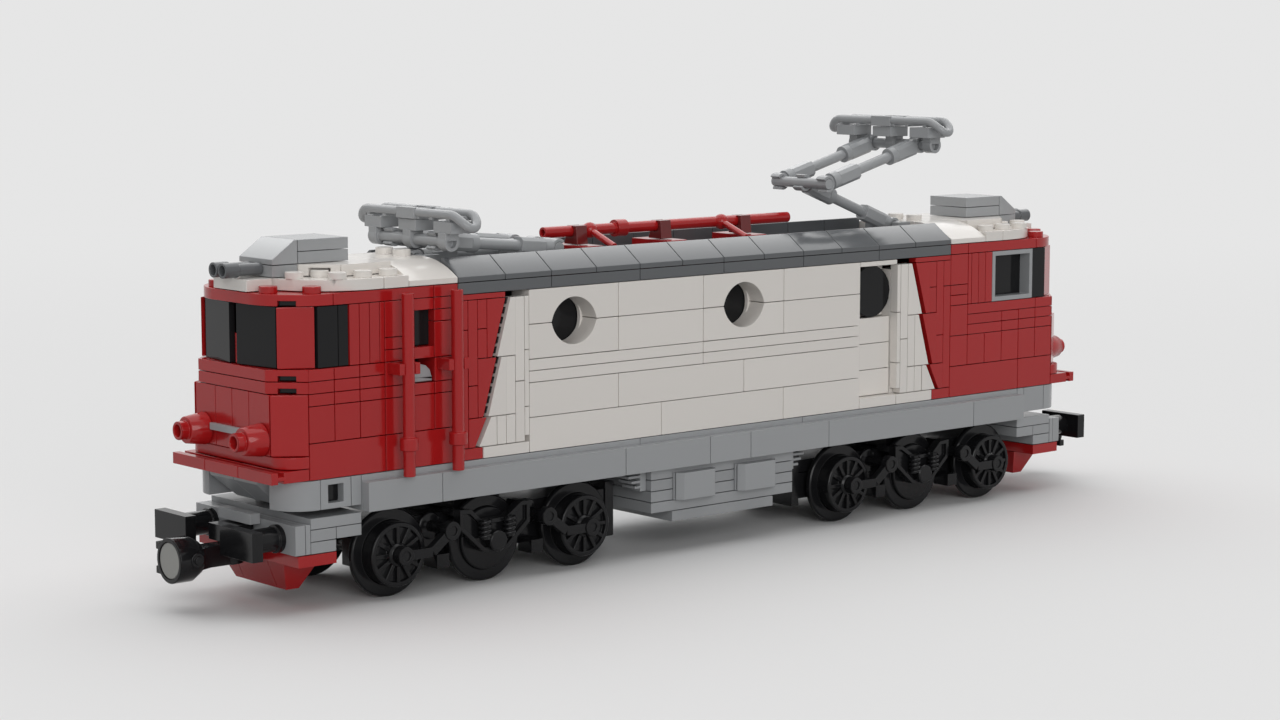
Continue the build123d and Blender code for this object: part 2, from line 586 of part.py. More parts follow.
# Red roof pipe on three supports, with two ball-jointed branches
PIPE_Z = rise(67.2)
PIPE_HALF = 48.0
BALL_RADIUS = 2.2
BRANCH_RADIUS = 1.0
pipe = along(0, PIPE_Z, -PIPE_HALF, PIPE_HALF, BAR_RADIUS)
pipe += along(0, PIPE_Z, -21.5, -17.5, BAR_RADIUS + 0.9)
for x in (-31.4, 19.7):
    pipe += across(x, PIPE_Z, -2.6, 1.0, BALL_RADIUS)
    pipe += rod((x, -1.2, PIPE_Z), (x - 2.4, -STUD * WALL_IN + 1.2, rise(63.4)), BRANCH_RADIUS)
add("roof_pipe", pipe)
SUPPORT_XS = (-36.0, -4.0, 28.0)
SUPPORT_TOP = level(19.8)
CLAMP = 2.0  # half a clamp's length along the pipe
for x in SUPPORT_XS:
    add("pipe_bases", block((x - STUD / 2, x + STUD / 2), (-STUD, STUD), (level(18), SUPPORT_TOP)))
    clamp_points = ((-3.4, SUPPORT_TOP), (2.6, SUPPORT_TOP), (1.0, PIPE_Z + 1.5), (-2.8, PIPE_Z + 1.5))
    clamp = end_profile([(y, z + SEAM / 2) for y, z in clamp_points], x - CLAMP, x + CLAMP)
    clamp -= along(0, PIPE_Z, x - STUD, x + STUD, BAR_RADIUS + RUNNING_GAP, bore=True)
    add("pipe_supports", clamp)

# Grey roof boxes with the horns in front of them
BOX_Y = (-1, 1)
add_both("roof_boxes", brick((-17, -15), BOX_Y, (20, 21)), brick((-17, -15), BOX_Y, (21, 22)))
add_both("roof_boxes", brick((-18, -17), BOX_Y, (19, 20)))
half_seam = SEAM / 2
box_slope = side_profile(
    (
        (-18 * STUD + half_seam, level(20) + half_seam), (-17 * STUD - half_seam, level(20) + half_seam),
        (-17 * STUD - half_seam, level(22) - half_seam), (-17 * STUD - 1, level(22) - half_seam),
        (-18 * STUD + half_seam, level(20) + SLOPE_LIP),
    ),
    -STUD + half_seam,
    STUD - half_seam,
)
add_both("roof_boxes", box_slope)
HORN_TIP = -155.5
HORN_COLLAR = 4.6
HORN_Z = rise(62.9)
HORN_RADIUS = 2.0
HORN_BORE = 1.4
for side in (-1, 1):
    y = side * 2.2
    horn = along(y, HORN_Z, HORN_TIP, -18 * STUD - SEAM / 2, BAR_RADIUS)
    horn += along(y, HORN_Z, HORN_TIP, HORN_TIP + HORN_COLLAR, HORN_RADIUS)
    horn -= along(y, HORN_Z, HORN_TIP - 1, HORN_TIP + 3, HORN_BORE)
    add_both("horns", horn)

# Pantographs. Each is drawn at the front, folded flat at zero degrees, then turned at its pins.
PIVOT_Z = rise(PIVOT_RISE)
HOLDER = 11.0  # length of a bar holder
HOLDER_HALF = 2.4
JAW_GAP = BAR_RADIUS + RUNNING_GAP
JAW_REACH = 1.2  # how far a clip's jaws pass the pin


def holder(x, z, angle, y, gripping):
    """A bar holder that points from a pin along an angle in degrees, with two jaws round the pin or fixed to it."""
    outline = [(-JAW_REACH, -HOLDER_HALF), (HOLDER, -HOLDER_HALF), (HOLDER, HOLDER_HALF), (-JAW_REACH, HOLDER_HALF)]
    if gripping:
        outline += [(-JAW_REACH, JAW_GAP), (JAW_GAP, JAW_GAP), (JAW_GAP, -JAW_GAP), (-JAW_REACH, -JAW_GAP)]
    dx, dz = cos(radians(angle)), sin(radians(angle))
    points = [(x + t * dx - n * dz, z + t * dz + n * dx) for t, n in outline]
    return side_profile(points, y - HOLDER_HALF, y + HOLDER_HALF)


def arm(x0, z0, angle, y, gripping=True):
    """A bar of the linkage's length with a bar holder at each end. The last holder always grips its pin."""
    dx, dz = cos(radians(angle)), sin(radians(angle))
    x1, z1 = x0 + ARM * dx, z0 + ARM * dz
    reach = HOLDER - SEAM
    bar = rod((x0 + reach * dx, y, z0 + reach * dz), (x1 - reach * dx, y, z1 - reach * dz), BAR_RADIUS)
    return bar + holder(x0, z0, angle, y, gripping) + holder(x1, z1, angle + 180, y, True)


SKID_X = 5.6  # from the head's middle to each skid
SKID_RADIUS = 1.25
SKID_SIDES = 6
SKID_TOP = 7.4  # above the head's pin
SKID_BEND = 16.4  # from the centre line to where the skids turn down
SKID_END = 23.0
SKID_DROP = 4.6
BLOCK_LOW = 3.0  # underside of the head's blocks above its pin
POST_Y = 14.3  # from the centre line to the outer posts
POST_WIDTH = 3.0
RUNG = 1.6


def skid_loop(x, z, side):
    """One skid tube: out along the head, down at the end, across and back."""
    top, low = z + SKID_TOP, z + SKID_TOP - SKID_DROP
    y0, y1, y2 = (side * n for n in (STUD / 2 - 1, SKID_BEND, SKID_END))
    outward = ((x - SKID_X, y0, top), (x - SKID_X, y1, top), (x - SKID_X + 0.8, y2, low))
    inward = [(2 * x - px, py, pz) for px, py, pz in reversed(outward)]
    path = Polyline(*outward, *inward)
    section = Plane(origin=outward[0], z_dir=(0, side, 0)) * RegularPolygon(SKID_RADIUS, SKID_SIDES)
    return sweep(section, path, transition=Transition.RIGHT)


def pantograph_head(x, z):
    """Collector head: its pin, and on three posts the centre block, the side blocks and two looped skids."""
    head = across(x, z, -2 * STUD + 0.4, 2 * STUD - 0.4, BAR_RADIUS)
    post = Box(2 * CLIP_RADIUS, POST_WIDTH, CLIP_RADIUS + BLOCK_LOW + SEAM)
    post_z = z + (BLOCK_LOW + SEAM - CLIP_RADIUS) / 2
    head += Pos(x, 0, post_z) * post
    head += Pos(x, 0, z + BLOCK_LOW + PLATE) * Box(2 * SKID_X + 2.4, STUD, 2 * PLATE)
    for side in (-1, 1):
        head += Pos(x, side * POST_Y, post_z) * post
        head += Pos(x, side * 2 * STUD, z + BLOCK_LOW + PLATE / 2) * Box(2 * SKID_X + 1, STUD, PLATE)
        head += Pos(x, side * 1.5 * STUD, z + BLOCK_LOW + PLATE) * Box(2 * SKID_X, RUNG, PLATE)
        head += skid_loop(x, z, side)
    return head


BASE_Y = (4.4, 7.4)  # from the centre line to both faces of a base block


def pantograph(lower, upper):
    """Base, lower arm, upper arms and head, with the arms at the given angles above level."""
    x0, z0 = -PIVOT_X, PIVOT_Z
    x1, z1 = x0 + ARM * cos(radians(lower)), z0 + ARM * sin(radians(lower))
    x2, z2 = x1 - ARM * cos(radians(upper)), z1 + ARM * sin(radians(upper))
    base = [across(x0, z0, SEAM / 2 - BASE_Y[0], BASE_Y[0] - SEAM / 2, BAR_RADIUS)]
    for side in (-1, 1):
        base.append(block((x0 - BAR_RADIUS, x0 + 4), sorted(side * y for y in BASE_Y), (level(18), z0 + BAR_RADIUS)))
    lower_arm = arm(x0, z0, lower, 0)
    upper_arms = across(x1, z1, -ARM_SIDE - HOLDER_HALF, ARM_SIDE + HOLDER_HALF, BAR_RADIUS)
    for side in (-1, 1):
        upper_arms += arm(x1, z1, 180 - upper, side * ARM_SIDE, gripping=False)
    return *base, lower_arm, upper_arms, pantograph_head(x2, z2)


for end, lower, upper in (("front", FOLDED_LOWER, FOLDED_UPPER), ("rear", RAISED_LOWER, RAISED_UPPER)):
    pieces = pantograph(lower, upper)
    if end == "rear":
        pieces = turned(pieces)
    *base, lower_arm, upper_arms, head = pieces
    add("pantograph_bases", *base)
    add(f"pantograph_{end}_lower_arm", lower_arm)
    add(f"pantograph_{end}_upper_arms", upper_arms)
    add(f"pantograph_{end}_head", head)

# Wheel sets
AXLE_Z = FLANGE_RADIUS


def wheel(face, spoked):
    """One wheel on the +Y side, its axis along Y through the origin."""
    disc = Plane.XZ.offset(-FLANGE_BACK)
    flange = extrude(disc * RegularPolygon(FLANGE_RADIUS, WHEEL_SIDES), -FLANGE_THICKNESS)
    tread = extrude(disc * RegularPolygon(TREAD_RADIUS, WHEEL_SIDES), FLANGE_BACK - face)
    body = flange + tread
    if not spoked:
        return body
    pocket = spoke_pocket(face)
    for i in range(SPOKES):
        body -= pocket.rotate(Axis.Y, 360 / SPOKES * i)
    return body


def spoke_pocket(face):
    """The three-cornered hollow between two spokes, cut into the wheel's outer face."""
    outer = TREAD_RADIUS - RIM_WIDTH
    spread = pi / SPOKES - SPOKE_WIDTH / 2 / outer
    outline = [(HUB_RADIUS + SPOKE_WIDTH, 0)] + [(outer * cos(a), outer * sin(a)) for a in (-spread, spread)]
    face_plane = Plane.XZ.offset(-face + SPOKE_DEPTH)
    return extrude(face_plane * make_face(Polyline(*outline, close=True)), -SPOKE_DEPTH - 1)


def wheel_set(x, spoked):
    """Two wheels on their axle."""
    face = WHEEL_FACE if spoked else PLAIN_WHEEL_FACE
    one = wheel(face, spoked)
    hub = face + 0.6 if spoked else face
    shaft = across(0, 0, -hub, hub, AXLE_RADIUS)
    both = one + mirror(one, Plane.XZ) + shaft
    return Pos(x, 0, AXLE_Z) * both


for number, place, spoked in ((1, -1, True), (2, 0, False), (3, 1, True)):
    axle = wheel_set(BOGIE_X + place * AXLE_PITCH, spoked)
    add_pair(f"axle_front_{number}", f"axle_rear_{number}", axle)

# Bogie frame: two long side beams with the axle holes, plates across them and the pivot plate
FLANGE_CLEAR = 1.4
BEAM_OUT = FLANGE_BACK - FLANGE_CLEAR
BEAM_WIDTH = 7.2
BEAM_IN = BEAM_OUT - BEAM_WIDTH
BEAM_Z = (AXLE_Z - 4.0, AXLE_Z + 4.0)
BEAM_X = (BOGIE_X - 40.0, BOGIE_X + 45.6)
FRAME_TOP = SKIRT_Z - 2.0
PIVOT_PIN = 2.4
AXLES = [BOGIE_X + place * AXLE_PITCH for place in (-1, 0, 1)]
deck_plate = block(BEAM_X, (-BEAM_OUT, BEAM_OUT), (BEAM_Z[1], FRAME_TOP - PLATE))
pivot_plate = block((BOGIE_X - STUD, BOGIE_X + STUD), (-BEAM_OUT, BEAM_OUT), (FRAME_TOP - PLATE, FRAME_TOP))
pivot_hole = upright(BOGIE_X, 0, AXLE_Z, SKIRT_Z, PIVOT_PIN + RUNNING_GAP, bore=True)
bogie_frame = [deck_plate - pivot_hole, pivot_plate - pivot_hole]
for side in (-1, 1):
    beam = block(BEAM_X, sorted((side * BEAM_IN, side * BEAM_OUT)), BEAM_Z)
    for x in AXLES:
        beam -= across(x, AXLE_Z, -STUD * 3, STUD * 3, AXLE_RADIUS + RUNNING_GAP, bore=True)
    bogie_frame.append(beam)
BRAKE_X = (14.0, 18.4)  # from the middle axle
BRAKE_Y = (BEAM_OUT, 22.0)
BRAKE_Z = (AXLE_Z - 6.0, AXLE_Z - 2.0)
for side in (-1, 1):
    for way in (-1, 1):
        x = sorted(BOGIE_X + way * n for n in BRAKE_X)
        bogie_frame.append(block(x, sorted(side * n for n in BRAKE_Y), BRAKE_Z))
add_pair("bogie_front_frame", "bogie_rear_frame", *bogie_frame)
end_plate = block((BEAM_X[1], BEAM_X[1] + PLATE), (-STUD * 2, STUD * 2), (rise(-19.2), rise(-3.2)))
add_pair("bogie_front_frame", "bogie_rear_frame", end_plate)
pin = upright(BOGIE_X, 0, AXLE_Z + 5, level(FLOOR_TOP - 1) + SEAM / 2, PIVOT_PIN)
add_both("floor_frame", pin)

# Bogie side frames with springs and a round axle box, at both sides of the middle wheel
SIDE_FRAME = (20.9, 23.0, 24.0)  # back, sunk face and raised rim, from the centre line
RIM = 1.2
AXLE_BOX_RADIUS = 2.9
SPRING_X = 4.2
SPRING_RADIUS = 1.5
SPRING_Z = (-12.4, -7.0)  # above the skirt's lower edge
SPACER_X = 11.0
SPACER = 1.0  # half a spacer's width
SPACER_Z = (-5.8, -3.8)  # above the skirt's lower edge, clear of the flange
# Outline as x from the middle axle and height above the skirt's lower edge
side_frame_points = (
    (-12.0, -3.6), (-8.2, -3.9), (-4.6, -7.2), (3.6, -7.2), (9.0, -3.6), (12.0, -3.6),
    (12.0, -9.4), (4.2, -16.0), (-4.2, -16.0), (-12.0, -9.0),
)


def side_frame():
    """The far side frame of the front bogie: rimmed plate, axle box, two springs and two spacers behind."""
    back, face, rim = SIDE_FRAME
    outline = make_face(Polyline(*[(BOGIE_X + x, rise(z)) for x, z in side_frame_points], close=True))
    plate = extrude(Plane.XZ.offset(-back) * outline, back - face)
    edge = outline - offset(outline, -RIM)
    plate += extrude(Plane.XZ.offset(-face) * edge, face - rim)
    pieces = [plate, across(BOGIE_X, AXLE_Z, face + SEAM / 2, rim + PLATE / 2, AXLE_BOX_RADIUS)]
    for way in (-1, 1):
        x, y = BOGIE_X + way * SPRING_X, face + SPRING_RADIUS + SEAM / 2
        pieces.append(upright(x, y, rise(SPRING_Z[0]), rise(SPRING_Z[1]), SPRING_RADIUS))
        x = BOGIE_X + way * SPACER_X
        pieces.append(block((x - SPACER, x + SPACER), (BEAM_OUT, back), [rise(z) for z in SPACER_Z]))
    return pieces


# Bent arms from the outer wheels' hubs to pins on the bogie frame
ARM_PLANE = (24.5, 26.7)
arm_points = ((0.0, 0.0), (9.0, 0.0), (15.4, 4.9))  # hub, elbow and pin from the axle
ARM_WIDTH = 2.6
EYE_RADIUS = 2.4


def side_arm(axle_x, sign):
    """A far-side bent arm, its first eye over the wheel's hub and its last on a pin in the frame."""
    y0, y1 = ARM_PLANE
    places = [(axle_x + sign * x, AXLE_Z + z) for x, z in arm_points]
    flat = Sketch()
    for (xa, za), (xb, zb) in zip(places, places[1:]):
        run = Vector(xb - xa, zb - za)
        slope = degrees(atan2(run.Y, run.X))
        flat += Pos((xa + xb) / 2, (za + zb) / 2) * Rot(0, 0, slope) * Rectangle(run.length, ARM_WIDTH)
    for x, z in (places[0], places[2]):
        flat += Pos(x, z) * RegularPolygon(EYE_RADIUS, BAR_SIDES)
    shape = extrude(Plane.XZ.offset(-y0) * flat, y0 - y1)
    return shape + across(*places[2], BEAM_OUT + SEAM / 2, y0 + SEAM, BAR_RADIUS)


far_gear = side_frame()
far_gear += [side_arm(BOGIE_X + way * AXLE_PITCH, -way) for way in (-1, 1)]
add_pair("bogie_front_side_gear", "bogie_rear_side_gear", *far_gear)
add_pair("bogie_front_side_gear", "bogie_rear_side_gear", *[mirror(piece, Plane.XZ) for piece in far_gear])

# Buffer beam on the bogie's outer end
BEAM_BACK = -STUD * 16
BEAM_FRONT = -148.8
BRACKET = 1.6
beam = [
    block((-144.0, BEAM_BACK), (-SIDE_Y, SIDE_Y), (rise(-3.2), rise(-0.2))),
    block((-144.0, -136.0), (-SIDE_Y, SIDE_Y), (rise(-6.4), rise(-3.2))),
    block((-136.0, BEAM_BACK), (-SIDE_Y, SIDE_Y), (rise(-6.4), rise(-3.2))),
    block((-144.0, -136.0), (-SIDE_Y, SIDE_Y), (rise(-9.6), rise(-6.4))),
    block((-144.0 - BRACKET, -144.0), (-SIDE_Y, SIDE_Y), (rise(-9.6), rise(-1.6))),
    block((BEAM_FRONT, -144.0 - BRACKET), (-SIDE_Y, SIDE_Y), (rise(-9.6), rise(-1.6))),
    block((-152.0, BEAM_FRONT), (-STUD, STUD), (rise(-3.2), rise(-0.2))),
]
add_pair("bogie_front_beam", "bogie_rear_beam", *beam)
TONGUE_Z = (rise(-6.4), rise(-3.2))
tongue = block((BEAM_BACK, BEAM_X[0]), (-STUD, STUD), (rise(-9.2), rise(-5.2)))
add_pair("bogie_front_frame", "bogie_rear_frame", tongue)

# Buffers with round stems and square heads, and the block that carries the coupler
BUFFER_Y = 16.0
BUFFER_FACE = -161.6
BUFFER_Z = rise(-5.8)
HEAD = (PLATE, 15.6, 7.6)
PIVOT_COUPLER_X = -153.0
for side in (-1, 1):
    buffer = Pos(BUFFER_FACE + PLATE / 2, side * BUFFER_Y, BUFFER_Z) * Box(*HEAD)
    buffer += along(side * BUFFER_Y, BUFFER_Z, BUFFER_FACE + 1, BEAM_FRONT - SEAM / 2, 3.2)
    buffer += along(side * BUFFER_Y, BUFFER_Z, BEAM_FRONT - 1.6, BEAM_FRONT - SEAM / 2, 3.7)
    add_pair("bogie_front_buffers", "bogie_rear_buffers", buffer)
carrier = block((PIVOT_COUPLER_X - 4, BEAM_FRONT), (-4.8, 4.8), (rise(-8.0), rise(-3.4)))
carrier += upright(PIVOT_COUPLER_X, 0, rise(-14.4), rise(-5.0), BAR_RADIUS)
add_pair("bogie_front_buffers", "bogie_rear_buffers", carrier)

# Couplers: an arm on an upright pin with a round magnet in its cup
MAGNET_FACE = -171.8
MAGNET_Z = rise(-11.2)
CUP_RADIUS = 6.0
MAGNET_RADIUS = 4.8
CUP_BACK = -163.8
ARM_Z = (rise(-14.0), rise(-8.4))
coupler = along(0, MAGNET_Z, MAGNET_FACE, CUP_BACK, CUP_RADIUS)
coupler -= along(0, MAGNET_Z, MAGNET_FACE - 1, MAGNET_FACE + 3.0, MAGNET_RADIUS + RUNNING_GAP, bore=True)
coupler += block((CUP_BACK - 1, PIVOT_COUPLER_X), (-2.6, 2.6), ARM_Z)
coupler += upright(PIVOT_COUPLER_X, 0, ARM_Z[0], ARM_Z[1], 3.2)
coupler -= upright(PIVOT_COUPLER_X, 0, rise(-16), rise(-6), BAR_RADIUS + RUNNING_GAP, bore=True)
for side in (-1, 1):
    coupler += across(CUP_BACK - 3, MAGNET_Z + 1.5, side * 4.0, side * 7.0, 1.2)
add_pair("coupler_front", "coupler_rear", coupler)
magnet = along(0, MAGNET_Z, MAGNET_FACE + 0.2, MAGNET_FACE + 2.9, MAGNET_RADIUS)
add_pair("coupler_front_magnet", "coupler_rear_magnet", magnet)

# Ploughs under the buffer beams
PLOUGH_TOP = -9.6
PLOUGH_LOW = -20.6
rail_plate = block((-146.4, -136.0), (-SIDE_Y, SIDE_Y), (rise(-12.8), rise(PLOUGH_TOP)))
rail_plate += block((-148.0, -146.0), (-SIDE_Y, SIDE_Y), (rise(-12.8), rise(PLOUGH_TOP)))
blade_points = ((-147.2, -12.8), (-136.0, -12.8), (-140.0, PLOUGH_LOW), (-144.0, PLOUGH_LOW))
plough = [rail_plate]
PLOUGH_HALF = 16.0
for y0, y1 in ((-PLOUGH_HALF, -8.0), (-8.0, 8.0), (8.0, PLOUGH_HALF)):
    blade = side_profile([(x, rise(z) - SEAM / 2) for x, z in blade_points], y0 + SEAM / 2, y1 - SEAM / 2)
    for side in (-1, 1):
        end_plane = Plane(origin=(-STUD * 18, side * PLOUGH_HALF, rise(-12.8)), x_dir=(1, 0, 0), z_dir=(0, side * 2, -1))
        blade = split(blade, end_plane, keep=Keep.BOTTOM)
    plough.append(blade)
add_pair("bogie_front_plough", "bogie_rear_plough", *plough)

os.makedirs("parts", exist_ok=True)
for name, solids in nodes.items():
    loose = []
    for solid in solids:
        loose.extend(solid.solids())
    export_step(Compound(children=loose), os.path.join("parts", name + ".step"))
print(len(nodes), "nodes", sum(len(Compound(children=list(s)).solids()) for s in nodes.values()), "solids")
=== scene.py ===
import json
import math
from itertools import product

import bmesh
import bpy
from mathutils import Matrix, Vector


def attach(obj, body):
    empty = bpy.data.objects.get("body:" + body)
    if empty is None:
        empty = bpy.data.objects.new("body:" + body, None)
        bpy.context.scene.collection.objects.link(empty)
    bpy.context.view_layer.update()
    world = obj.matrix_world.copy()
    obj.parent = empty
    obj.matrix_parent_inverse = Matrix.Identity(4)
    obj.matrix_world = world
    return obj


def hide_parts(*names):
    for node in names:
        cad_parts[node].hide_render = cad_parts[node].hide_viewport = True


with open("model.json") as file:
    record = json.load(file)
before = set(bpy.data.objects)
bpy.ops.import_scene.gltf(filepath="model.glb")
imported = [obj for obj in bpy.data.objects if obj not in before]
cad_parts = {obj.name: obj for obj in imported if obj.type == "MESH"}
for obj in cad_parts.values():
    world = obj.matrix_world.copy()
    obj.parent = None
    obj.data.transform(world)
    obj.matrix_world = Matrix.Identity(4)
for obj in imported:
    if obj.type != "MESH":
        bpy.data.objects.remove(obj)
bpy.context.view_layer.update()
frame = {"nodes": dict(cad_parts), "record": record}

# Places and sizes are in millimetres in the part's own frame, and turned into metres by MM
MM = 0.001
EDGE_ROUNDING = 0.16 * MM
CRISP_ANGLE = math.radians(40)
ROUND_SIDES = 40  # facets round a turned piece
SKIRT = 25.2  # height of the skirt's lower edge, which other heights are counted from
PLATE = 3.2
BAR = 1.6  # radius of the toy's bars
ENDS = (("front", 1), ("rear", -1))  # the rear is the front after a half turn

# Colours of the moulded bricks, linear
RED = (0.42, 0.013, 0.014, 1)
DARK_RED = (0.16, 0.022, 0.022, 1)
WARM_WHITE = (0.79, 0.755, 0.715, 1)
LIGHT_GREY = (0.355, 0.365, 0.375, 1)
DARK_GREY = (0.120, 0.126, 0.133, 1)
BLACK = (0.010, 0.010, 0.011, 1)
SMOKE = (0.014, 0.014, 0.015, 1)
STEEL = (0.30, 0.30, 0.285, 1)
BACKDROP = (0.79, 0.79, 0.79, 1)
FLOOR_BOUNCE = (0.40, 0.40, 0.40, 1)


# Materials
def node_at(tree, kind, x, y, **settings):
    """Adds one shader node at a grid place and sets its plain properties."""
    node = tree.nodes.new(kind)
    node.location = (x * 220, y * 180)
    for key, value in settings.items():
        setattr(node, key, value)
    return node


def mould_finish_group():
    """Shader group: colour that differs a little from brick to brick, and a faint moulded skin."""
    group = bpy.data.node_groups.new("mould_finish", "ShaderNodeTree")
    face = group.interface
    face.new_socket("Colour", in_out="INPUT", socket_type="NodeSocketColor")
    for name in ("Brick Spread", "Skin Depth", "Gloss", "Gloss Spread"):
        face.new_socket(name, in_out="INPUT", socket_type="NodeSocketFloat")
    face.new_socket("Colour", in_out="OUTPUT", socket_type="NodeSocketColor")
    face.new_socket("Roughness", in_out="OUTPUT", socket_type="NodeSocketFloat")
    face.new_socket("Normal", in_out="OUTPUT", socket_type="NodeSocketVector")
    link = group.links.new
    given = node_at(group, "NodeGroupInput", -5, 0)
    out = node_at(group, "NodeGroupOutput", 3, 0)

    # each brick is a loose island, so it gets a shade of its own
    island = node_at(group, "ShaderNodeNewGeometry", -5, 2)
    offset = node_at(group, "ShaderNodeMath", -4, 2, operation="SUBTRACT")
    offset.inputs[1].default_value = 0.5
    amount = node_at(group, "ShaderNodeMath", -3, 2, operation="MULTIPLY")
    shade = node_at(group, "ShaderNodeMath", -2, 2, operation="ADD")
    shade.inputs[1].default_value = 1.0
    tint = node_at(group, "ShaderNodeMix", -1, 2, data_type="RGBA", blend_type="MULTIPLY")
    tint.inputs["Factor"].default_value = 1.0
    link(island.outputs["Random Per Island"], offset.inputs[0])
    link(offset.outputs[0], amount.inputs[0])
    link(given.outputs["Brick Spread"], amount.inputs[1])
    link(amount.outputs[0], shade.inputs[0])
    link(given.outputs["Colour"], tint.inputs["A"])
    link(shade.outputs[0], tint.inputs["B"])
    link(tint.outputs["Result"], out.inputs["Colour"])

    # handling marks change the gloss in soft patches
    place = node_at(group, "ShaderNodeTexCoord", -5, -2)
    patches = node_at(group, "ShaderNodeTexNoise", -4, -1)
    patches.inputs["Scale"].default_value = 90.0
    patches.inputs["Detail"].default_value = 4.0
    swing = node_at(group, "ShaderNodeMath", -3, -1, operation="SUBTRACT")
    swing.inputs[1].default_value = 0.5
    reach = node_at(group, "ShaderNodeMath", -2, -1, operation="MULTIPLY")
    gloss = node_at(group, "ShaderNodeMath", -1, -1, operation="ADD", use_clamp=True)
    link(place.outputs["Object"], patches.inputs["Vector"])
    link(patches.outputs["Fac"], swing.inputs[0])
    link(swing.outputs[0], reach.inputs[0])
    link(given.outputs["Gloss Spread"], reach.inputs[1])
    link(reach.outputs[0], gloss.inputs[0])
    link(given.outputs["Gloss"], gloss.inputs[1])
    link(gloss.outputs[0], out.inputs["Roughness"])

    # the skin of the mould, a slow ripple with a fine grain on it
    ripple = node_at(group, "ShaderNodeTexNoise", -4, -2)
    ripple.inputs["Scale"].default_value = 160.0
    grain = node_at(group, "ShaderNodeTexNoise", -4, -3)
    grain.inputs["Scale"].default_value = 2600.0
    height = node_at(group, "ShaderNodeMix", -3, -2, data_type="FLOAT")
    height.inputs["Factor"].default_value = 0.3
    bump = node_at(group, "ShaderNodeBump", -1, -3)
    bump.inputs["Distance"].default_value = 0.3 * MM
    link(place.outputs["Object"], ripple.inputs["Vector"])
    link(place.outputs["Object"], grain.inputs["Vector"])
    link(ripple.outputs["Fac"], height.inputs["A"])
    link(grain.outputs["Fac"], height.inputs["B"])
    link(height.outputs["Result"], bump.inputs["Height"])
    link(given.outputs["Skin Depth"], bump.inputs["Strength"])
    link(bump.outputs["Normal"], out.inputs["Normal"])
    return group


MOULD_FINISH = mould_finish_group()


def brick_plastic(name, colour, gloss=0.13, spread=0.05, skin=0.04, shine=0.35, metal=0.0):
    """A moulded brick plastic, or a plated metal, with the shared mould finish."""
    material = bpy.data.materials.new(name)
    material.use_nodes = True
    tree = material.node_tree
    tree.nodes.clear()
    out = node_at(tree, "ShaderNodeOutputMaterial", 2, 0)
    shader = node_at(tree, "ShaderNodeBsdfPrincipled", 1, 0)
    finish = node_at(tree, "ShaderNodeGroup", 0, 0, node_tree=MOULD_FINISH)
    finish.inputs["Colour"].default_value = colour
    finish.inputs["Brick Spread"].default_value = spread
    finish.inputs["Skin Depth"].default_value = skin
    finish.inputs["Gloss"].default_value = gloss
    finish.inputs["Gloss Spread"].default_value = 0.06
    shader.inputs["IOR"].default_value = 1.5
    shader.inputs["Metallic"].default_value = metal
    shader.inputs["Specular IOR Level"].default_value = shine
    link = tree.links.new
    link(finish.outputs["Colour"], shader.inputs["Base Color"])
    link(finish.outputs["Roughness"], shader.inputs["Roughness"])
    link(finish.outputs["Normal"], shader.inputs["Normal"])
    link(shader.outputs["BSDF"], out.inputs["Surface"])
    return material


MATERIALS = {
    "red": brick_plastic("red_bricks", RED),
    "dark_red": brick_plastic("dark_red_bricks", DARK_RED),
    "white": brick_plastic("warm_white_bricks", WARM_WHITE, gloss=0.18, spread=0.03),
    "light_grey": brick_plastic("light_grey_bricks", LIGHT_GREY, gloss=0.18),
    "dark_grey": brick_plastic("dark_grey_bricks", DARK_GREY, gloss=0.15),
    "black": brick_plastic("black_bricks", BLACK, gloss=0.14, spread=0.2, shine=0.24),
    "smoked_glass": brick_plastic("smoked_panes", SMOKE, gloss=0.07, spread=0.1, skin=0.02, shine=0.16),
    "magnet_steel": brick_plastic("magnet_steel", STEEL, gloss=0.5, metal=0.4),
}

slots = {piece["node"]: piece["material_slot"] for piece in frame["record"]["subparts"]}


# Rounded edges
def smooth_join_group():
    """Geometry group: joins the split corners of a mesh, smooths round faces and keeps corners crisp."""
    group = bpy.data.node_groups.new("join_and_smooth", "GeometryNodeTree")
    group.interface.new_socket("Geometry", in_out="INPUT", socket_type="NodeSocketGeometry")
    group.interface.new_socket("Geometry", in_out="OUTPUT", socket_type="NodeSocketGeometry")
    given = node_at(group, "NodeGroupInput", -3, 0)
    merge = node_at(group, "GeometryNodeMergeByDistance", -2, 0)
    merge.inputs["Distance"].default_value = 0.002 * MM
    smooth = node_at(group, "GeometryNodeSetShadeSmooth", -1, 0, domain="FACE")
    angle = node_at(group, "GeometryNodeInputMeshEdgeAngle", -2, -1)
    corner = node_at(group, "FunctionNodeCompare", -1, -1, data_type="FLOAT", operation="GREATER_THAN")
    corner.inputs["B"].default_value = CRISP_ANGLE
    crisp = node_at(group, "GeometryNodeSetShadeSmooth", 0, 0, domain="EDGE")
    crisp.inputs["Shade Smooth"].default_value = False
    out = node_at(group, "NodeGroupOutput", 1, 0)
    link = group.links.new
    link(given.outputs[0], merge.inputs["Geometry"])
    link(merge.outputs["Geometry"], smooth.inputs["Geometry"])
    link(angle.outputs["Unsigned Angle"], corner.inputs["A"])
    link(smooth.outputs["Geometry"], crisp.inputs["Geometry"])
    link(corner.outputs["Result"], crisp.inputs["Selection"])
    link(crisp.outputs["Geometry"], out.inputs[0])
    return group


JOIN_AND_SMOOTH = smooth_join_group()
FINE_EDGES = ("bogie_front_plough", "bogie_rear_plough")  # corners too slight for the full rounding


